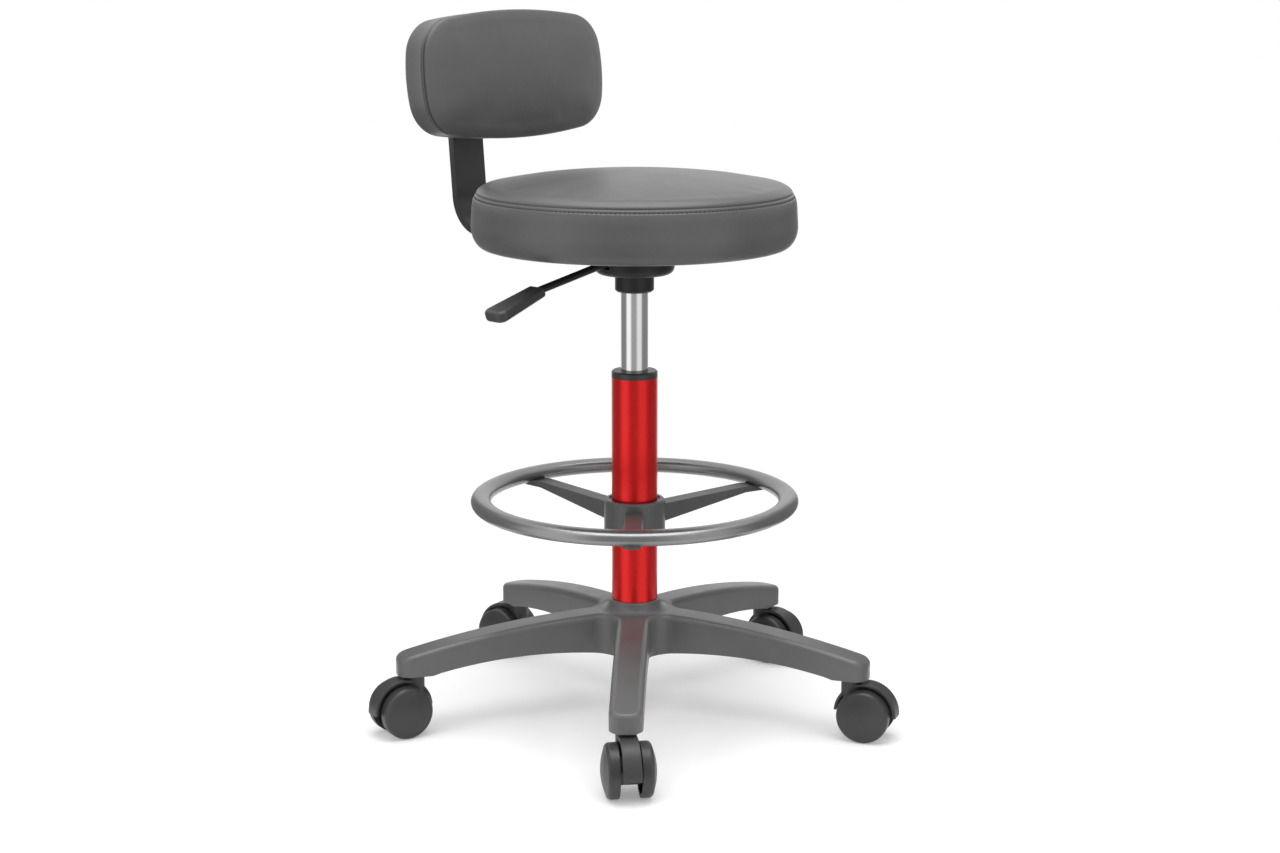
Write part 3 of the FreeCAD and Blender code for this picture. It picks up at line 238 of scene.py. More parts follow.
class EffectGroups:
    """Shader groups that several finishes share, each built once."""

    def start(self, name: str, inputs: dict, outputs: dict) -> tuple[ShaderBench, dict, bpy.types.Node]:
        """Begin a group.

        Args:
            name: The group's name.
            inputs: Socket kind and start value by input name.
            outputs: Socket kind by output name.

        Returns:
            Its bench, its inputs by name and its output node.
        """
        tree = bpy.data.node_groups.new(name, "ShaderNodeTree")
        for label, (kind, value) in inputs.items():
            socket = tree.interface.new_socket(label, in_out="INPUT", socket_type=kind)
            if value is not None:
                socket.default_value = value
        for label, kind in outputs.items():
            tree.interface.new_socket(label, in_out="OUTPUT", socket_type=kind)
        bench = ShaderBench(tree)
        entry = bench.add("NodeGroupInput")
        return bench, {label: entry.outputs[label] for label in inputs}, bench.add("NodeGroupOutput")

    @cached_property
    def mottle(self) -> bpy.types.NodeTree:
        """Slow, cloudy change of tone over a surface."""
        inputs = {
            "Vector": ("NodeSocketVector", None), "Dark": ("NodeSocketColor", None),
            "Light": ("NodeSocketColor", None), "Scale": ("NodeSocketFloat", 20.0),
        }
        outputs = {"Color": "NodeSocketColor", "Value": "NodeSocketFloat"}
        bench, entry, end = self.start("slow_mottle", inputs, outputs)
        broad = bench.noise(entry["Vector"], entry["Scale"], 3.0)
        value = bench.band(broad, 0.3, 0.7)
        bench.feed(end.inputs["Color"], bench.mix(value, entry["Dark"], entry["Light"]))
        bench.feed(end.inputs["Value"], value)
        return end.id_data

    @cached_property
    def pebble(self) -> bpy.types.NodeTree:
        """Fine pebbled grain with shallow creases, as on coated cloth."""
        inputs = {
            "Vector": ("NodeSocketVector", None), "Scale": ("NodeSocketFloat", 700.0),
            "Crease Scale": ("NodeSocketFloat", 60.0), "Crease": ("NodeSocketFloat", 0.3),
        }
        bench, entry, end = self.start("pebble_grain", inputs, {"Height": "NodeSocketFloat"})
        cells = bench.add("ShaderNodeTexVoronoi", {"Vector": entry["Vector"], "Scale": entry["Scale"]},
                          feature="SMOOTH_F1")
        pebbles = bench.math("SUBTRACT", 1.0, cells.outputs["Distance"])
        wander = bench.noise(entry["Vector"], entry["Crease Scale"], 2.0)
        line = bench.math("ABSOLUTE", bench.math("SUBTRACT", wander, 0.5))
        crease = bench.math("SUBTRACT", 1.0, bench.band(line, 0.0, 0.035))
        depth = bench.math("MULTIPLY", crease, entry["Crease"])
        bench.feed(end.inputs["Height"], bench.math("SUBTRACT", pebbles, depth))
        return end.id_data

    @cached_property
    def fine_noise(self) -> bpy.types.NodeTree:
        """Fine even roughness, as on spark-eroded mouldings and powder coat."""
        inputs = {
            "Vector": ("NodeSocketVector", None), "Scale": ("NodeSocketFloat", 900.0),
            "Rough Low": ("NodeSocketFloat", 0.4), "Rough High": ("NodeSocketFloat", 0.5),
        }
        outputs = {"Height": "NodeSocketFloat", "Roughness": "NodeSocketFloat"}
        bench, entry, end = self.start("fine_texture", inputs, outputs)
        fine = bench.noise(entry["Vector"], entry["Scale"], 2.0, 0.6)
        broad = bench.noise(entry["Vector"], 35.0, 3.0)
        span = bench.math("SUBTRACT", entry["Rough High"], entry["Rough Low"])
        rough = bench.math("MULTIPLY_ADD", bench.band(broad, 0.3, 0.7), span, entry["Rough Low"])
        bench.feed(end.inputs["Height"], fine)
        bench.feed(end.inputs["Roughness"], rough)
        return end.id_data

    @cached_property
    def brushed(self) -> bpy.types.NodeTree:
        """Fine lines drawn along one direction, as ground or polished metal shows."""
        inputs = {
            "Vector": ("NodeSocketVector", None), "Stretch": ("NodeSocketVector", None),
            "Rough Low": ("NodeSocketFloat", 0.2), "Rough High": ("NodeSocketFloat", 0.3),
        }
        outputs = {"Height": "NodeSocketFloat", "Roughness": "NodeSocketFloat"}
        bench, entry, end = self.start("drawn_lines", inputs, outputs)
        stretched = bench.add("ShaderNodeVectorMath", {0: entry["Vector"], 1: entry["Stretch"]}, operation="MULTIPLY")
        lines = bench.noise(stretched.outputs[0], 1.0, 3.0, 0.6)
        span = bench.math("SUBTRACT", entry["Rough High"], entry["Rough Low"])
        rough = bench.math("MULTIPLY_ADD", bench.band(lines, 0.3, 0.7), span, entry["Rough Low"])
        bench.feed(end.inputs["Height"], lines)
        bench.feed(end.inputs["Roughness"], rough)
        return end.id_data


groups = EffectGroups()


@dataclass(frozen=True)
class Finish:
    """A surface finish: its name, the two tones it drifts between, and its gloss."""

    name: str
    dark: Colour
    light: Colour
    rough_low: float = 0.4
    rough_high: float = 0.5
    metallic: float = 0.0
    specular: float = 0.5
    mottle_scale: float = 18.0
    grain_scale: float = 900.0
    grain_depth: float = 0.00004

    @cache
    def material(self) -> bpy.types.Material:
        """The finish as a material, built once."""
        material = bpy.data.materials.new(self.name)
        material.use_nodes = True
        bench = ShaderBench(material.node_tree)
        surface = material.node_tree.nodes["Principled BSDF"]
        surface.inputs["Metallic"].default_value = self.metallic
        surface.inputs["Specular IOR Level"].default_value = self.specular
        place = bench.add("ShaderNodeTexCoord").outputs["Object"]
        self.dress(bench, surface, place)
        material.diffuse_color = opaque(self.light)
        return material

    def tone(self, bench: ShaderBench, place: bpy.types.NodeSocket) -> bpy.types.Node:
        """Place the shared mottle with this finish's two tones."""
        inputs = {"Vector": place, "Dark": opaque(self.dark), "Light": opaque(self.light), "Scale": self.mottle_scale}
        return bench.add("ShaderNodeGroup", inputs, node_tree=groups.mottle)

    def bump(self, bench: ShaderBench, surface: bpy.types.Node, height: bpy.types.NodeSocket, depth: float) -> None:
        """Raise the surface by a height map over a depth in metres."""
        node = bench.add("ShaderNodeBump", {"Height": height, "Distance": depth})
        bench.feed(surface.inputs["Normal"], node.outputs["Normal"])

    def dress(self, bench: ShaderBench, surface: bpy.types.Node, place: bpy.types.NodeSocket) -> None:
        """Fill in the finish's own nodes: fine grain in the normal, slow drift in tone and gloss."""
        inputs = {"Vector": place, "Scale": self.grain_scale,
                  "Rough Low": self.rough_low, "Rough High": self.rough_high}
        texture = bench.add("ShaderNodeGroup", inputs, node_tree=groups.fine_noise)
        bench.feed(surface.inputs["Base Color"], self.tone(bench, place).outputs["Color"])
        bench.feed(surface.inputs["Roughness"], texture.outputs["Roughness"])
        self.bump(bench, surface, texture.outputs["Height"], self.grain_depth)


@dataclass(frozen=True)
class MouldedNylon(Finish):
    """Moulded nylon with a spark-eroded skin."""

    grain_depth: float = 0.00008


@dataclass(frozen=True)
class CoatedCloth(Finish):
    """Coated upholstery cloth with a pebbled grain and faint creases."""

    grain_scale: float = 750.0
    grain_depth: float = 0.00012
    # Painted shade: the dark tone that the seam groove and the stitch channel are mixed towards.
    painted_seam_shade: Colour = (0.006, 0.006, 0.006)
    crease_scale: float = 30.0
    crease: float = 0.25

    def dress(self, bench: ShaderBench, surface: bpy.types.Node, place: bpy.types.NodeSocket) -> None:
        """Pebbles and creases in the normal, with painted shade darkening the seam groove and the stitch channel."""
        inputs = {"Vector": place, "Scale": self.grain_scale, "Crease Scale": self.crease_scale, "Crease": self.crease}
        grain = bench.add("ShaderNodeGroup", inputs, node_tree=groups.pebble)
        tone = self.tone(bench, place)
        span = self.rough_high - self.rough_low
        rough = bench.math("MULTIPLY_ADD", tone.outputs["Value"], span, self.rough_low)
        # Painted shade: the seam attribute darkens the groove and the stitch channel towards the shade tone.
        seam = bench.add("ShaderNodeAttribute", attribute_name="seam").outputs["Fac"]
        colour = bench.mix(seam, tone.outputs["Color"], opaque(self.painted_seam_shade))
        bench.feed(surface.inputs["Base Color"], colour)
        bench.feed(surface.inputs["Roughness"], rough)
        self.bump(bench, surface, grain.outputs["Height"], self.grain_depth)


@dataclass(frozen=True)
class DrawnMetal(Finish):
    """Ground or polished metal with fine lines along one direction."""

    grain_depth: float = 0.00001
    stretch: Colour = (3000.0, 3000.0, 40.0)

    def dress(self, bench: ShaderBench, surface: bpy.types.Node, place: bpy.types.NodeSocket) -> None:
        """Lines in gloss and normal over a slow drift in tone."""
        inputs = {"Vector": place, "Stretch": self.stretch, "Rough Low": self.rough_low, "Rough High": self.rough_high}
        lines = bench.add("ShaderNodeGroup", inputs, node_tree=groups.brushed)
        bench.feed(surface.inputs["Base Color"], self.tone(bench, place).outputs["Color"])
        bench.feed(surface.inputs["Roughness"], lines.outputs["Roughness"])
        self.bump(bench, surface, lines.outputs["Height"], self.grain_depth)


def grey(dark: float, light: float) -> dict[str, Colour]:
    """Two neutral tones for a finish."""
    return {"dark": (dark, dark, dark), "light": (light, light, light)}


UPHOLSTERY = CoatedCloth("upholstery_coated_cloth", **grey(0.076, 0.084), rough_low=0.37, rough_high=0.43)
# The thread is real, but its near-black tone is painted shade standing in for the shadowed stitch holes.
THREAD_PAINTED_SHADE = Finish("upholstery_thread_painted_shade", **grey(0.012, 0.018), rough_low=0.6, rough_high=0.7, mottle_scale=300.0)
BASE_NYLON = MouldedNylon("base_nylon_grey", **grey(0.11, 0.12), rough_low=0.32, rough_high=0.38,
                          grain_depth=0.00004)
CARRIER_NYLON = MouldedNylon("carrier_nylon_grey", **grey(0.074, 0.084), rough_low=0.34, rough_high=0.4,
                             grain_depth=0.00003)
BLACK_NYLON = MouldedNylon("black_nylon_grained", **grey(0.03, 0.036), rough_low=0.34, rough_high=0.42, specular=0.45)
HOOD_NYLON = MouldedNylon("caster_hood_nylon_dark", **grey(0.04, 0.046), rough_low=0.4, rough_high=0.48)
WHEEL_NYLON = MouldedNylon("caster_wheel_nylon_dark", **grey(0.03, 0.035), rough_low=0.36, rough_high=0.44)
RING_PAINT = DrawnMetal("ring_satin_grey", **grey(0.25, 0.27), rough_low=0.28, rough_high=0.33, metallic=0.85,
                        stretch=(200.0, 200.0, 200.0))
COLUMN_RED = DrawnMetal("column_satin_red", dark=(0.7, 0.014, 0.013), light=(0.74, 0.017, 0.015), rough_low=0.27,
                        rough_high=0.3, metallic=0.7, grain_depth=0.000002)
PLATED = DrawnMetal("plated_cylinder_bright", **grey(0.7, 0.73), rough_low=0.1, rough_high=0.13, metallic=1.0,
                    grain_depth=0.000002)
BLACK_POWDER = MouldedNylon("black_powder_coat", **grey(0.014, 0.018), rough_low=0.4, rough_high=0.48, specular=0.35,
                            grain_scale=500.0)
BAR_POWDER = MouldedNylon("bar_powder_coat", **grey(0.026, 0.032), rough_low=0.38, rough_high=0.46,
                          grain_scale=500.0)
BRIGHT_STEEL = DrawnMetal("bright_steel_turned", **grey(0.45, 0.5), rough_low=0.22, rough_high=0.32, metallic=1.0)
RUBBER = Finish("buffer_rubber_black", **grey(0.012, 0.018), rough_low=0.65, rough_high=0.75)
DUST_CLOTH = Finish("dust_cover_cloth", **grey(0.012, 0.02), rough_low=0.8, rough_high=0.9, mottle_scale=400.0)
PLYWOOD = DrawnMetal("plywood_plain", dark=(0.36, 0.22, 0.1), light=(0.5, 0.33, 0.17), rough_low=0.55,
                     rough_high=0.65, stretch=(60.0, 900.0, 900.0), mottle_scale=30.0)


class CasterPart(Enum):
    """The solids of one caster, by the ending of their names."""

    HOOD = "hood"
    AXLE = "axle"
    LEFT = "wheel_left"
    RIGHT = "wheel_right"


@dataclass(frozen=True)
class HardPieces:
    """The rigid solids that keep their shape and take a finish."""

    caster_count: int = 5

    def dressing(self) -> dict[Finish, list[str]]:
        """List the solids that take each finish."""
        casters = {part: [f"caster_{index}_{part.value}" for index in range(1, self.caster_count + 1)]
                   for part in CasterPart}
        return {
            BASE_NYLON: ["star_base"],
            CARRIER_NYLON: ["foot_ring_carrier"],
            RING_PAINT: ["foot_ring"],
            COLUMN_RED: ["column_tube"],
            PLATED: ["gas_cylinder"],
            BLACK_NYLON: ["column_bush", "foot_ring_collet", "lever_paddle", "back_mount", "rod_guide", "valve_body",
                          "piston"],
            BLACK_POWDER: ["mechanism_plate", "mechanism_bowl", "socket_collar", "lever_rod", "seat_bolts",
                           "back_bar_bolts", "foot_ring_screws", "back_pad_screws"],
            BAR_POWDER: ["back_bar"],
            HOOD_NYLON: casters[CasterPart.HOOD],
            WHEEL_NYLON: casters[CasterPart.LEFT] + casters[CasterPart.RIGHT],
            BRIGHT_STEEL: casters[CasterPart.AXLE] + ["caster_stems", "caster_grip_rings", "bearing_lower_race",
                                                      "bearing_balls", "bearing_upper_race", "piston_rod", "rod_clip",
                                                      "release_pin", "lever_pivot_pin", "seat_t_nuts"],
            RUBBER: ["rubber_buffer"],
            DUST_CLOTH: ["seat_dust_cover"],
            PLYWOOD: ["seat_board", "back_board"],
        }

    def dress(self) -> None:
        """Give every rigid solid its finish."""
        for finish, names in self.dressing().items():
            for name in names:
                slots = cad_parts[name].data.materials
                slots.clear()
                slots.append(finish.material())
            log.info("%s on %d solids", finish.name, len(names))


@dataclass(frozen=True)
class SeamLine:
    """Section of a sewn seam, as heights over the plain cover at distances from the seam line, with the painted shade
    of its groove and stitch channel.
    """

    offsets: tuple[float, ...] = (-0.009, -0.006, -0.004, -0.0026, -0.0015, -0.0007, 0.0, 0.0007, 0.0014, 0.0021,
                                  0.0028, 0.0035, 0.0042, 0.0049, 0.0056, 0.0064, 0.0074, 0.009, 0.011)
    heights: tuple[float, ...] = (0.0, 0.0002, 0.0004, 0.0005, 0.0004, -0.0001, -0.0008, -0.0003, 0.0001, 0.0002,
                                  0.0001, -0.0002, -0.0006, -0.0002, 0.0002, 0.0002, 0.0001, 0.0, 0.0)
    strength: float = 1.0
    stitch_offset: float = 0.0042
    # groove_shade and channel_shade set how strongly painted shade darkens the seam groove and the stitch channel.
    groove_width: float = 0.0007
    groove_shade: float = 0.5
    channel_width: float = 0.0008
    channel_shade: float = 0.5

    def rise(self, distance: np.ndarray) -> np.ndarray:
        """Height over the plain cover at signed distances from the seam."""
        return self.strength * np.interp(distance, self.offsets, self.heights, left=0.0, right=0.0)

    def shade(self, distance: np.ndarray) -> np.ndarray:
        """How much painted shade darkens the seam groove and the stitch channel, from 0 to 1, at signed distances from
        the seam.
        """
        groove = np.exp(-(distance / self.groove_width) ** 2)
        channel = np.exp(-((distance - self.stitch_offset) / self.channel_width) ** 2)
        return np.maximum(groove * self.groove_shade, channel * self.channel_shade)


@dataclass(frozen=True)
class CushionPress:
    """The short pressure simulation that swells a padded form."""

    voxel: float = 0.005
    pressure: float = 4.0
    frames: int = 20
    inset: float = 0.002
    cap: float = 0.006
    reach: float = 0.002
    fade: float = 0.015

    def swell(self, piece: bpy.types.Object, held_runs: list[tuple[float, float]]) -> None:
        """Swell a remeshed copy of a cushion and draw the cushion onto it.

        Args:
            piece: The cushion's clean mesh.
            held_runs: Bands of the attribute "run" that stay where they are, as at seams and under boards.
        """
        pick(piece)
        bpy.ops.object.duplicate()
        blank = bpy.context.object
        blank.data.remesh_voxel_size = self.voxel
        bpy.ops.object.voxel_remesh()
        start = points_of(blank) - normals_of(blank) * self.inset
        place_points(blank, start)
        clean = points_of(piece)
        tree = BVHTree.FromObject(piece, bpy.context.evaluated_depsgraph_get())
        runs = values_of(piece, "run")
        corner = np.array([polygon.vertices[0] for polygon in piece.data.polygons])
        nearest = np.array([tree.find_nearest(Vector(place))[2] for place in start])
        held = self.held(runs[corner[nearest]], held_runs)
        group = blank.vertex_groups.new(name="held")
        for index in np.flatnonzero(held > 0.5):
            group.add([int(index)], 1.0, "REPLACE")
        moved = self.simulate(blank, start)
        place_points(blank, moved)
        tree = BVHTree.FromObject(blank, bpy.context.evaluated_depsgraph_get())
        target = np.array([tuple(tree.find_nearest(Vector(place))[0]) for place in clean])
        step = (target - clean) + normals_of(piece) * self.inset * 0.5
        length = np.maximum(np.linalg.norm(step, axis=1), 1e-9)
        share = np.minimum(1.0, self.reach / length) * (1.0 - self.held(runs, held_runs))
        place_points(piece, clean + step * share[:, None])
        bpy.data.objects.remove(blank)

    def held(self, runs: np.ndarray, bands: list[tuple[float, float]]) -> np.ndarray:
        """Share from 0 to 1 by which each place is held, fading out round the bands."""
        share = np.zeros(len(runs))
        for low, high in bands:
            outside = np.maximum(np.maximum(low - runs, runs - high), 0.0)
            share = np.maximum(share, np.clip(1.0 - outside / self.fade, 0.0, 1.0))
        return share

    def simulate(self, blank: bpy.types.Object, start: np.ndarray) -> np.ndarray:
        """Run the cloth under pressure and give back where its points end, within the cap."""
        pick(blank)
        modifier = blank.modifiers.new("pressure", "CLOTH")
        settings = modifier.settings
        settings.use_pressure = True
        settings.uniform_pressure_force = self.pressure
        settings.effector_weights.gravity = 0.0
        settings.vertex_group_mass = "held"
        scene = bpy.context.scene
        for step in range(1, self.frames + 1):
            scene.frame_set(step)
        apply_all(blank)
        scene.frame_set(1)
        move = points_of(blank) - start
        length = np.maximum(np.linalg.norm(move, axis=1), 1e-9)
        return start + move * np.minimum(1.0, self.cap / length)[:, None]


def run_along(points: list[tuple[float, float]]) -> list[float]:
    """Distance along a section at each of its points."""
    steps = [math.dist(first, second) for first, second in zip(points, points[1:])]
    return [0.0] + list(np.cumsum(steps))


def resample(points: list[tuple[float, float]], runs: list[float]) -> list[tuple[float, float]]:
    """Points of a section at given distances along it."""
    own = run_along(points)
    x = np.interp(runs, own, [point[0] for point in points])
    y = np.interp(runs, own, [point[1] for point in points])
    return list(zip(x, y))


def bowed(first: tuple[float, float], last: tuple[float, float], rise: float,
          count: int) -> list[tuple[float, float]]:
    """Points of a round edge that swells by rise to the right of its way, its first point left out."""
    x0, y0 = first
    x1, y1 = last
    chord = math.dist(first, last)
    side = ((y1 - y0) / chord, -(x1 - x0) / chord)
    radius = (chord ** 2 / 4 + rise ** 2) / (2 * rise)
    points = []
    for index in range(1, count + 1):
        share = index / count
        along = (share - 0.5) * chord
        out = math.sqrt(radius ** 2 - along ** 2) - (radius - rise)
        points.append((x0 + (x1 - x0) * share + side[0] * out, y0 + (y1 - y0) * share + side[1] * out))
    return points


@dataclass(frozen=True)
class StitchRow:
    """A row of thread stitches that lie on a cover."""

    name: str
    pitch: float = 0.0048
    length: float = 0.0037
    radius: float = 0.0006
    taper: float = 0.45
    tuck: float = 1.6
    lift: float = 0.6

    def template(self) -> bpy.types.Object:
        """Model one stitch: a short thread with tucked-in ends, lying along X."""
        clear_selection()
        bpy.ops.mesh.primitive_cylinder_add(vertices=6, radius=self.radius, depth=self.length,
                                            rotation=(0.0, math.pi / 2, 0.0), end_fill_type="TRIFAN")
        stitch = bpy.context.object
        bpy.ops.object.transform_apply(location=True, rotation=True, scale=True)
        bpy.ops.object.mode_set(mode="EDIT")
        bpy.ops.mesh.select_all(action="SELECT")
        bpy.ops.mesh.bisect(plane_co=(self.length / 4, 0, 0), plane_no=(1, 0, 0))
        bpy.ops.mesh.select_all(action="SELECT")
        bpy.ops.mesh.bisect(plane_co=(-self.length / 4, 0, 0), plane_no=(1, 0, 0))
        bpy.ops.object.mode_set(mode="OBJECT")
        places = points_of(stitch)
        share = np.abs(places[:, 0]) / (self.length / 2)
        places[:, 1:] *= (1.0 - self.taper * share ** 2)[:, None]
        places[:, 2] -= self.radius * self.tuck * share ** 2
        place_points(stitch, places)
        return stitch

    def build(self, path: np.ndarray, normals: np.ndarray) -> bpy.types.Object:
        """Lay stitches along a closed path.

        Args:
            path: Places of the closed path, in metres.
            normals: The cover's normal at each place.

        Returns:
            One object with all the stitches.
        """
        stitch = self.template()
        shape = points_of(stitch)
        faces = [tuple(polygon.vertices) for polygon in stitch.data.polygons]
        bpy.data.objects.remove(stitch)
        closed = np.vstack([path, path[:1]])
        turned = np.vstack([normals, normals[:1]])
        own = np.concatenate([[0.0], np.cumsum(np.linalg.norm(np.diff(closed, axis=0), axis=1))])
        count = round(own[-1] / self.pitch)
        vertices = []
        polygons = []
        for index in range(count):
            ends = [(index + share) * own[-1] / count for share in (0.35, 0.5, 0.65)]
            before, centre, after = (np.array([np.interp(end, own, closed[:, axis]) for axis in range(3)])
                                     for end in ends)
            up = np.array([np.interp(ends[1], own, turned[:, axis]) for axis in range(3)])
            forward = (after - before) / np.linalg.norm(after - before)
            side = np.cross(up, forward)
            side /= np.linalg.norm(side)
            turn = np.stack([forward, side, np.cross(forward, side)])
            first = index * len(shape)
            vertices.extend((shape @ turn + centre).tolist())
            polygons.extend([tuple(first + corner for corner in face) for face in faces])
        mesh = bpy.data.meshes.new(self.name)
        mesh.from_pydata(vertices, [], polygons)
        piece = bpy.data.objects.new(self.name, mesh)
        bpy.context.scene.collection.objects.link(piece)
        mesh.materials.append(THREAD_PAINTED_SHADE.material())
        smooth(piece, 60.0)
        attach(piece, "seat")
        log.info("%s: %d stitches", self.name, count)
        return piece


@dataclass(frozen=True)
class Cushion:
    """What the two sewn cushions share: their seam, their press and their last steps."""

    name: str
    node: str
    seam: SeamLine = SeamLine()
    press: CushionPress = CushionPress()
    hold_below: float = 0.008
    hold_above: float = 0.004

    def seam_band(self, seam_run: float) -> tuple[float, float]:
        """The band round the seam that stays where it is while the cushion swells."""
        return seam_run - self.hold_below, seam_run + self.hold_above

    def seam_runs(self, seam_run: float) -> list[float]:
        """Where the rings of the seam lie along the section, from the stitched band to the cover."""
        return [seam_run - offset for offset in reversed(self.seam.offsets)]

    def sew(self, piece: bpy.types.Object, seam_run: float, side: float) -> None:
        """Press the seam and the stitch channel into a swollen cushion and store their painted shade in the attribute
        seam.

        Args:
            piece: The cushion.
            seam_run: Where the seam lies along the section.
            side: 1 where the stitched band lies further along the section, -1 where it lies before.
        """
        distance = (values_of(piece, "run") - seam_run) * side
        rise = self.seam.rise(distance)
        place_points(piece, points_of(piece) + normals_of(piece) * rise[:, None])
        # The attribute seam holds painted shade for the seam groove and the stitch channel.
        keep_values(piece, "seam", self.seam.shade(distance))

    def stitch(self, piece: bpy.types.Object, stitch_run: float, row: StitchRow) -> bpy.types.Object:
        """Lay a row of stitches along the cushion's ring at a distance along its section."""
        runs = values_of(piece, "run")
        chosen = np.flatnonzero(np.abs(runs - stitch_run) < 1e-5)
        order = chosen[np.argsort(values_of(piece, "girth")[chosen])]
        normals = normals_of(piece)[order]
        path = points_of(piece)[order] + normals * row.radius * row.lift
        return row.build(path, normals)

    def finish(self, piece: bpy.types.Object) -> bpy.types.Object:
        """Round the cushion off, dress it and put it in its solid's place."""
        subdivide(piece, 1)
        smooth(piece, 60.0)
        piece.data.materials.append(UPHOLSTERY.material())
        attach(piece, "seat")
        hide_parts(self.node)
        log.info("%s: %d faces", self.name, len(piece.data.polygons))
        return piece


@dataclass(frozen=True)
class RoundSeat(Cushion):
    """The round seat cushion: crowned top, seam under the edge, bulging side turned in below."""

    bottom: float = 0.521
    pole_radius: float = 0.02
    wrap_radius: float = 0.146
    wrap_round: float = 0.003
    wrap_lip: float = 0.002
    foot_hold: float = 0.02
    foot_radius: float = 0.164
    widest_radius: float = 0.1745
    widest_height: float = 0.551
    lower_power: float = 3.6
    upper_power: float = 3.0
    seam_radius: float = 0.1685
    seam_height: float = 0.5785
    shoulder_radius: float = 0.148
    shoulder_height: float = 0.5895
    edge_bulge: float = 0.0034
    edge_span: float = 0.03
    crown_height: float = 0.6005
    inner_height: float = 0.528
    segments: int = 240

    def side(self, end: tuple[float, float], power: float) -> list[tuple[float, float]]:
        """The side's curve from where it is widest, and upright, to one of its ends."""
        draw = self.widest_radius - end[0]
        rise = end[1] - self.widest_height
        return [(self.widest_radius - draw * share ** power, self.widest_height + rise * share)
                for share in np.linspace(0.0, 1.0, 25)]

    def section(self) -> tuple[list[tuple[float, float]], float]:
        """The half section from the underside to the crown, and the distance along it to the seam."""
        foot = (self.foot_radius, self.bottom)
        seam = (self.seam_radius, self.seam_height)
        shoulder = (self.shoulder_radius, self.shoulder_height)
        points = [(self.pole_radius, self.inner_height), (self.wrap_radius - self.wrap_round, self.inner_height),
                  (self.wrap_radius, self.bottom + self.wrap_lip), (self.wrap_radius + self.wrap_round, self.bottom)]
        points += self.side(foot, self.lower_power)[:0:-1]
        points += self.side(seam, self.upper_power)
        seam_run = run_along(points)[-1]
        points += bowed(seam, shoulder, self.edge_bulge, 24)
        rise = self.crown_height - self.shoulder_height
        radius = (self.shoulder_radius ** 2 + rise ** 2) / (2 * rise)
        for share in np.linspace(1.0, 0.1, 40)[1:]:
            out = self.shoulder_radius * share
            points.append((out, self.crown_height - radius + math.sqrt(radius ** 2 - out ** 2)))
        return points, seam_run

    def rings(self) -> tuple[list[np.ndarray], list[float], float]:
        """Rings of the cushion, where each lies along the section, and where the seam lies."""
        points, seam_run = self.section()
        end = run_along(points)[-1]
        corner = run_along(points[:4])[-1]
        runs = list(np.linspace(0.0, run_along(points[:2])[-1], 5)) + run_along(points[:4])[2:]
        seam_runs = self.seam_runs(seam_run)
        edge_end = seam_runs[-1] + self.edge_span
        runs += list(np.linspace(corner, seam_runs[0], 16))[1:-1]
        runs += seam_runs
        runs += list(np.linspace(seam_runs[-1], edge_end, 9))[1:]
        runs += list(np.linspace(edge_end, end, 14))[1:]
        angles = np.linspace(0.0, 2 * math.pi, self.segments, endpoint=False)
        rings = [np.stack([out * np.cos(angles), out * np.sin(angles), np.full(self.segments, height)], axis=1)
                 for out, height in resample(points, runs)]
        return rings, runs, seam_run

    def build(self) -> None:
        """Make the seat cushion and its stitches."""
        rings, runs, seam_run = self.rings()
        piece = loft(self.name, rings, runs)
        foot = self.wrap_radius + self.inner_height - self.bottom + self.foot_hold
        self.press.swell(piece, [(0.0, foot), self.seam_band(seam_run)])
        self.sew(piece, seam_run, -1.0)
        self.stitch(piece, seam_run - self.seam.stitch_offset, StitchRow("seat_stitches"))
        self.finish(piece)


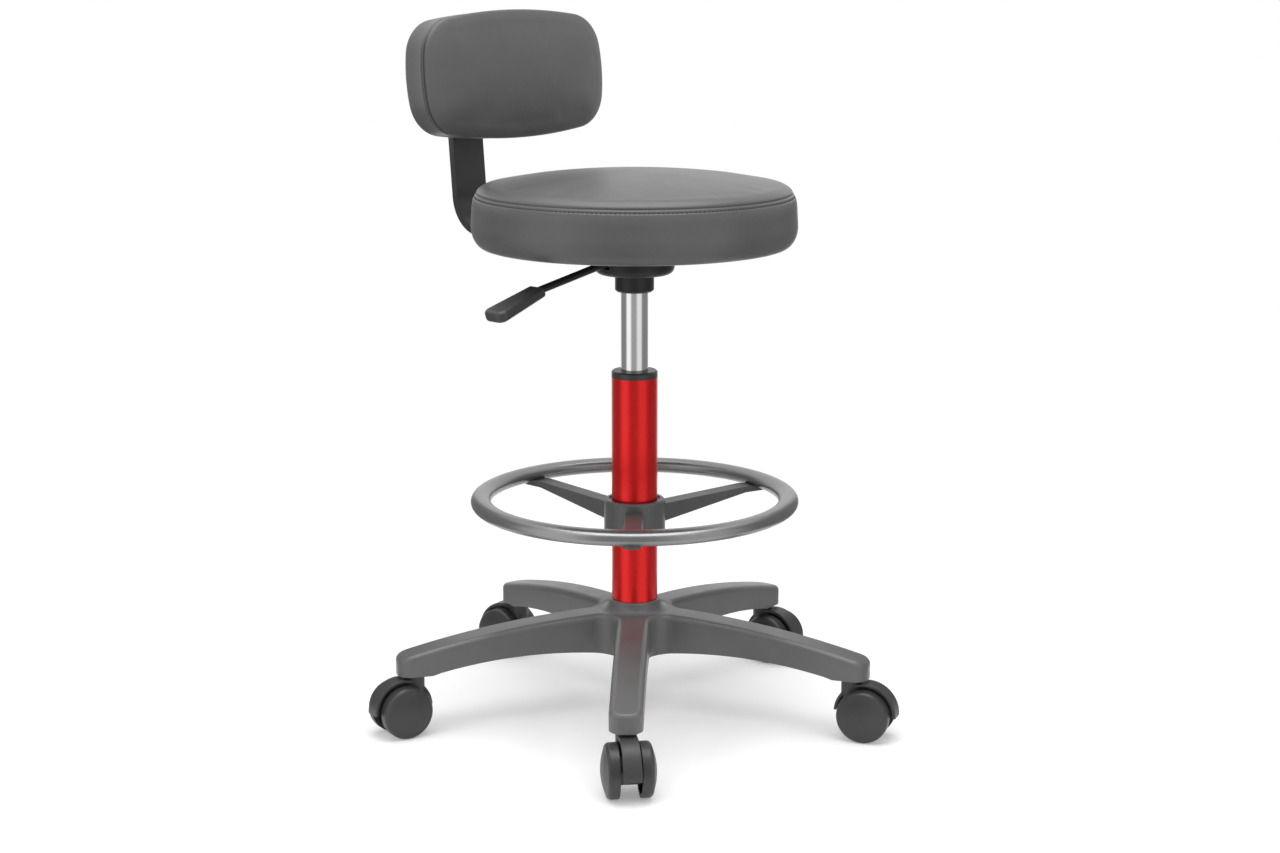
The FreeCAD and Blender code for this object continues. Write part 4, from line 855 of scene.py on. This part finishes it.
@dataclass(frozen=True)
class LumbarPad(Cushion):
    """The lumbar cushion: bowed rounded rectangle, side band, seam at the front edge, crowned front."""

    # The pad's seam groove gets the full painted shade and a deeper, wider groove.
    seam: SeamLine = SeamLine(strength=2.2, groove_width=0.0016, groove_shade=1.0)
    centre: Colour = (0.0, 0.202008, 0.694554)
    recline: float = 5.0
    width: float = 0.262
    height: float = 0.14
    long_bow: float = 0.65
    short_bow: float = 0.18
    corner: float = 0.042
    band: float = 0.03
    crown: float = 0.013
    crown_inset: float = 0.042
    rear_crown: float = 0.006
    rear_inset: float = 0.012
    side_draw: float = 0.001
    middle_run: float = 0.05
    rear_shares: tuple[float, ...] = (0.3, 0.5, 0.75, 0.9)
    front_shares: tuple[float, ...] = (0.9, 0.75, 0.58, 0.4, 0.25)
    segments: int = 240

    def corner_centre(self) -> tuple[float, float]:
        """Centre of the round between a long and a short edge."""
        long_reach = self.long_bow - self.corner
        short_reach = self.short_bow - self.corner
        across = self.width / 2 - self.short_bow
        rise = self.long_bow - self.height / 2
        span = math.hypot(across, rise)
        out = (long_reach ** 2 - short_reach ** 2 + span ** 2) / (2 * span)
        beside = math.sqrt(long_reach ** 2 - out ** 2)
        return (across * out + rise * beside) / span, (rise * out - across * beside) / span - rise

    def outline(self, inset: float) -> np.ndarray:
        """The pad's outline drawn in evenly, as places in its own plane, from the right side round to it."""
        x, y = self.corner_centre()
        short_centre = self.width / 2 - self.short_bow
        long_centre = self.height / 2 - self.long_bow
        short_turn = math.atan2(y, x - short_centre)
        long_turn = math.atan2(y - long_centre, x)
        arcs = [(short_centre, 0.0, self.short_bow, 0.0, short_turn, 40),
                (x, y, self.corner, short_turn, long_turn, 80),
                (0.0, long_centre, self.long_bow, long_turn, math.pi / 2, 40)]
        quarter = []
        for across, up, bow, first, last, count in arcs:
            for angle in np.linspace(first, last, count, endpoint=False):
                quarter.append((across + (bow - inset) * math.cos(angle), up + (bow - inset) * math.sin(angle)))
        quarter.append((0.0, self.height / 2 - inset))
        upper = quarter + [(-px, py) for px, py in reversed(quarter[:-1])]
        whole = np.array(upper + [(px, -py) for px, py in reversed(upper[1:-1])])
        closed = np.vstack([whole, whole[:1]])
        own = np.concatenate([[0.0], np.cumsum(np.linalg.norm(np.diff(closed, axis=0), axis=1))])
        spots = np.linspace(0.0, own[-1], self.segments, endpoint=False)
        return np.stack([np.interp(spots, own, closed[:, axis]) for axis in range(2)], axis=1)

    def section(self) -> tuple[list[tuple[float, float]], float, float]:
        """Inset and depth from the rear edge to the crown's edge, and where the foot and the seam lie along it."""
        front = self.band / 2
        rear = -front
        points = [(self.rear_inset, rear - self.rear_crown)]
        for share in np.linspace(0.0, 1.0, 9)[1:]:
            turn = math.pi / 2 * share
            points.append((self.rear_inset * (1 - math.sin(turn)), rear - self.rear_crown * math.cos(turn)))
        foot_run = run_along(points)[-1]
        for share in np.linspace(0.0, 1.0, 13)[1:]:
            points.append((self.side_draw * math.sin(math.pi * share), rear + self.band * share))
        seam_run = run_along(points)[-1]
        for share in np.linspace(0.0, 1.0, 33)[1:]:
            turn = math.pi / 2 * share
            points.append((self.crown_inset * (1 - math.cos(turn)), front + self.crown * math.sin(turn)))
        return points, foot_run, seam_run

    def rings(self) -> tuple[list[np.ndarray], list[float], float, float]:
        """Rings of the pad in the part's frame, where each lies along the section, and the foot and seam there."""
        points, foot_run, seam_run = self.section()
        end = run_along(points)[-1]
        seam_runs = self.seam_runs(seam_run)
        runs = list(np.linspace(0.0, foot_run, 7)) + list(np.linspace(foot_run, seam_runs[0], 7))[1:-1]
        runs += seam_runs
        runs += list(np.linspace(seam_runs[-1], end, 12))[1:]
        own = run_along(points)
        flat = []
        rear = self.outline(self.rear_inset)
        for share in self.rear_shares:
            flat.append((rear * share, -self.band / 2 - self.rear_crown, -self.middle_run * (1 - share)))
        for run in runs:
            inset = np.interp(run, own, [point[0] for point in points])
            depth = np.interp(run, own, [point[1] for point in points])
            flat.append((self.outline(inset), depth, run))
        front = self.outline(self.crown_inset)
        for share in self.front_shares:
            flat.append((front * share, self.band / 2 + self.crown, end + self.middle_run * (1 - share)))
        spin = np.array(Matrix.Rotation(math.radians(90.0 - self.recline), 3, "X"))
        rings = [np.column_stack([ring, np.full(self.segments, depth)]) @ spin.T + np.array(self.centre)
                 for ring, depth, _ in flat]
        return rings, [run for _, _, run in flat], foot_run, seam_run

    def build(self) -> None:
        """Make the lumbar cushion and its stitches."""
        rings, runs, foot_run, seam_run = self.rings()
        piece = loft(self.name, rings, runs)
        self.press.swell(piece, [(-1.0, foot_run), self.seam_band(seam_run)])
        self.sew(piece, seam_run, -1.0)
        self.stitch(piece, seam_run - self.seam.stitch_offset, StitchRow("lumbar_stitches"))
        self.finish(piece)


@dataclass(frozen=True)
class PhotoCamera:
    """The camera at the photograph's place."""

    place: Colour = (-1.6978, -1.6978, 0.832)
    heading: float = 44.86
    pitch_down: float = 11.96
    lens: float = 63.48
    sensor: float = 36.0

    def build(self) -> None:
        """Set up the camera and make it the scene's own."""
        data = bpy.data.cameras.new("photo_camera")
        data.lens = self.lens
        data.sensor_fit = "HORIZONTAL"
        data.sensor_width = self.sensor
        data.clip_end = 200.0
        camera = bpy.data.objects.new("photo_camera", data)
        camera.location = self.place
        camera.rotation_euler = (math.radians(90.0 - self.pitch_down), 0.0, math.radians(self.heading - 90.0))
        bpy.context.scene.collection.objects.link(camera)
        bpy.context.scene.camera = camera


@dataclass(frozen=True)
class SoftLamp:
    """One large soft lamp."""

    name: str
    bearing: float
    distance: float
    height: float
    width: float
    tall: float
    watts: float
    mirrored: bool = False
    aim_height: float = 0.4

    def build(self, camera_bearing: float) -> None:
        """Hang the lamp at its bearing, measured at the stool from the camera towards the right."""
        angle = math.radians(camera_bearing + self.bearing)
        data = bpy.data.lights.new(self.name, "AREA")
        data.shape = "RECTANGLE"
        data.size = self.width
        data.size_y = self.tall
        data.energy = self.watts
        lamp = bpy.data.objects.new(self.name, data)
        lamp.location = (self.distance * math.cos(angle), self.distance * math.sin(angle), self.height)
        aim = Vector((0.0, 0.0, self.aim_height)) - lamp.location
        lamp.rotation_euler = aim.to_track_quat("-Z", "Y").to_euler()
        lamp.visible_glossy = self.mirrored
        bpy.context.scene.collection.objects.link(lamp)


@dataclass(frozen=True)
class MirrorStrip:
    """A bright strip on the mirrored wall: bearing from the camera and half width in degrees, and added strength."""

    bearing: float
    half: float
    gain: float
    core: float = 0.5
    edge: float = 1.6

    def glow(self, bench: ShaderBench, bearing: bpy.types.NodeSocket, base: object) -> bpy.types.NodeSocket:
        """Add the strip to the wall's strength at a bearing in radians."""
        off = bench.math("ABSOLUTE", bench.math("SUBTRACT", bearing, math.radians(self.bearing)))
        fall = bench.band(off, math.radians(self.half * self.core), math.radians(self.half * self.edge))
        return bench.math("MULTIPLY_ADD", bench.math("SUBTRACT", 1.0, fall), self.gain, base)


@dataclass(frozen=True)
class Studio:
    """Pale floor, white surround, soft lamps and the wall that metal mirrors."""

    camera_bearing: float = 225.0
    floor_size: float = 90.0
    floor_tone: float = 0.8
    floor_lift: float = 0.27
    near: float = 0.3
    far: float = 1.6
    ambient: float = 0.48
    wall_radius: float = 0.45
    wall_height: float = 0.6
    wall_tone: float = 0.28
    wall_span: float = 140.0
    strips: tuple[MirrorStrip, ...] = (MirrorStrip(-49.0, 19.0, 0.95), MirrorStrip(40.0, 20.0, 0.7),
                                       MirrorStrip(-5.0, 24.0, 0.15))

    def lamps(self) -> list[SoftLamp]:
        """The lamps of the studio."""
        return [
            SoftLamp("top_softbox", 0.0, 0.3, 2.6, 2.4, 2.4, 58.0, mirrored=True),
            SoftLamp("left_softbox", -52.0, 2.6, 1.7, 1.4, 1.8, 19.0),
            SoftLamp("right_softbox", 48.0, 2.8, 1.6, 1.4, 1.8, 14.0),
        ]

    def seen(self, bench: ShaderBench) -> bpy.types.NodeSocket:
        """1 for rays that show the background: from the camera, off gloss or through glass."""
        path = bench.add("ShaderNodeLightPath")
        seen = bench.math("MAXIMUM", path.outputs["Is Camera Ray"], path.outputs["Is Glossy Ray"])
        return bench.math("MAXIMUM", seen, path.outputs["Is Transmission Ray"])

    def surround(self) -> None:
        """White where it is seen, a softer even light elsewhere."""
        world = bpy.data.worlds.new("white_surround")
        world.use_nodes = True
        bpy.context.scene.world = world
        bench = ShaderBench(world.node_tree)
        background = world.node_tree.nodes["Background"]
        background.inputs["Color"].default_value = (1.0, 1.0, 1.0, 1.0)
        strength = bench.math("MULTIPLY_ADD", self.seen(bench), 1.0 - self.ambient, self.ambient)
        bench.feed(background.inputs["Strength"], strength)

    def floor(self) -> None:
        """A pale floor that keeps the shadow near the stool and is white further off."""
        clear_selection()
        bpy.ops.mesh.primitive_plane_add(size=self.floor_size)
        floor = bpy.context.object
        floor.name = "pale_floor"
        material = bpy.data.materials.new("pale_floor")
        material.use_nodes = True
        tree = material.node_tree
        tree.nodes.clear()
        bench = ShaderBench(tree)
        place = bench.add("ShaderNodeTexCoord").outputs["Object"]
        reach = bench.add("ShaderNodeVectorMath", {0: place}, operation="LENGTH").outputs["Value"]
        seen = self.seen(bench)
        far = bench.math("MULTIPLY", bench.band(reach, self.near, self.far), seen)
        tone = (self.floor_tone, self.floor_tone, self.floor_tone, 1.0)
        matt = bench.add("ShaderNodeBsdfDiffuse", {"Color": tone})
        lift = bench.add("ShaderNodeEmission", {"Strength": bench.math("MULTIPLY", seen, self.floor_lift)})
        close = bench.add("ShaderNodeAddShader", {0: matt.outputs[0], 1: lift.outputs[0]})
        white = bench.add("ShaderNodeEmission", {"Strength": 1.0})
        whole = bench.add("ShaderNodeMixShader", {0: far, 1: close.outputs[0], 2: white.outputs[0]})
        end = bench.add("ShaderNodeOutputMaterial")
        bench.feed(end.inputs["Surface"], whole.outputs[0])
        floor.data.materials.append(material)

    def mirrored_wall(self) -> None:
        """A grey wall with bright strips round the camera's side, seen only in gloss."""
        clear_selection()
        bpy.ops.mesh.primitive_cylinder_add(vertices=180, radius=self.wall_radius, depth=self.wall_height,
                                            end_fill_type="NOTHING", location=(0.0, 0.0, self.wall_height / 2))
        wall = bpy.context.object
        wall.name = "studio_wall"
        bpy.ops.object.transform_apply(location=True, rotation=True, scale=True)
        bpy.ops.object.mode_set(mode="EDIT")
        bpy.ops.mesh.select_all(action="DESELECT")
        edit = bmesh.from_edit_mesh(wall.data)
        for face in edit.faces:
            centre = face.calc_center_median()
            off = math.degrees(math.atan2(centre.y, centre.x)) - self.camera_bearing
            face.select_set(abs((off + 180.0) % 360.0 - 180.0) > self.wall_span)
        bmesh.update_edit_mesh(wall.data)
        bpy.ops.mesh.delete(type="FACE")
        bpy.ops.object.mode_set(mode="OBJECT")
        material = bpy.data.materials.new("studio_wall")
        material.use_nodes = True
        tree = material.node_tree
        tree.nodes.clear()
        bench = ShaderBench(tree)
        place = bench.add("ShaderNodeTexCoord").outputs["Object"]
        turned = bench.add("ShaderNodeVectorRotate", {"Vector": place, "Angle": math.radians(-self.camera_bearing)},
                           rotation_type="Z_AXIS")
        parts = bench.add("ShaderNodeSeparateXYZ", {0: turned.outputs[0]})
        bearing = bench.math("ARCTAN2", parts.outputs["Y"], parts.outputs["X"])
        total = self.wall_tone
        for strip in self.strips:
            total = strip.glow(bench, bearing, total)
        glow = bench.add("ShaderNodeEmission", {"Strength": total})
        end = bench.add("ShaderNodeOutputMaterial")
        bench.feed(end.inputs["Surface"], glow.outputs[0])
        wall.data.materials.append(material)
        wall.visible_camera = False
        wall.visible_diffuse = False
        wall.visible_shadow = False
        wall.visible_transmission = False

    def build(self) -> None:
        """Set up the whole studio."""
        self.surround()
        self.floor()
        self.mirrored_wall()
        for lamp in self.lamps():
            lamp.build(self.camera_bearing)
        bpy.context.scene.view_settings.view_transform = "Standard"


def main() -> None:
    """Build the stool's looks in order."""
    logging.basicConfig(level=logging.INFO, format="%(name)s: %(message)s")
    PhotoCamera().build()
    Studio().build()
    HardPieces().dress()
    RoundSeat("seat_cushion_sewn", "seat_cushion").build()
    LumbarPad("lumbar_cushion_sewn", "back_cushion").build()


if __name__ == "__main__":
    main()
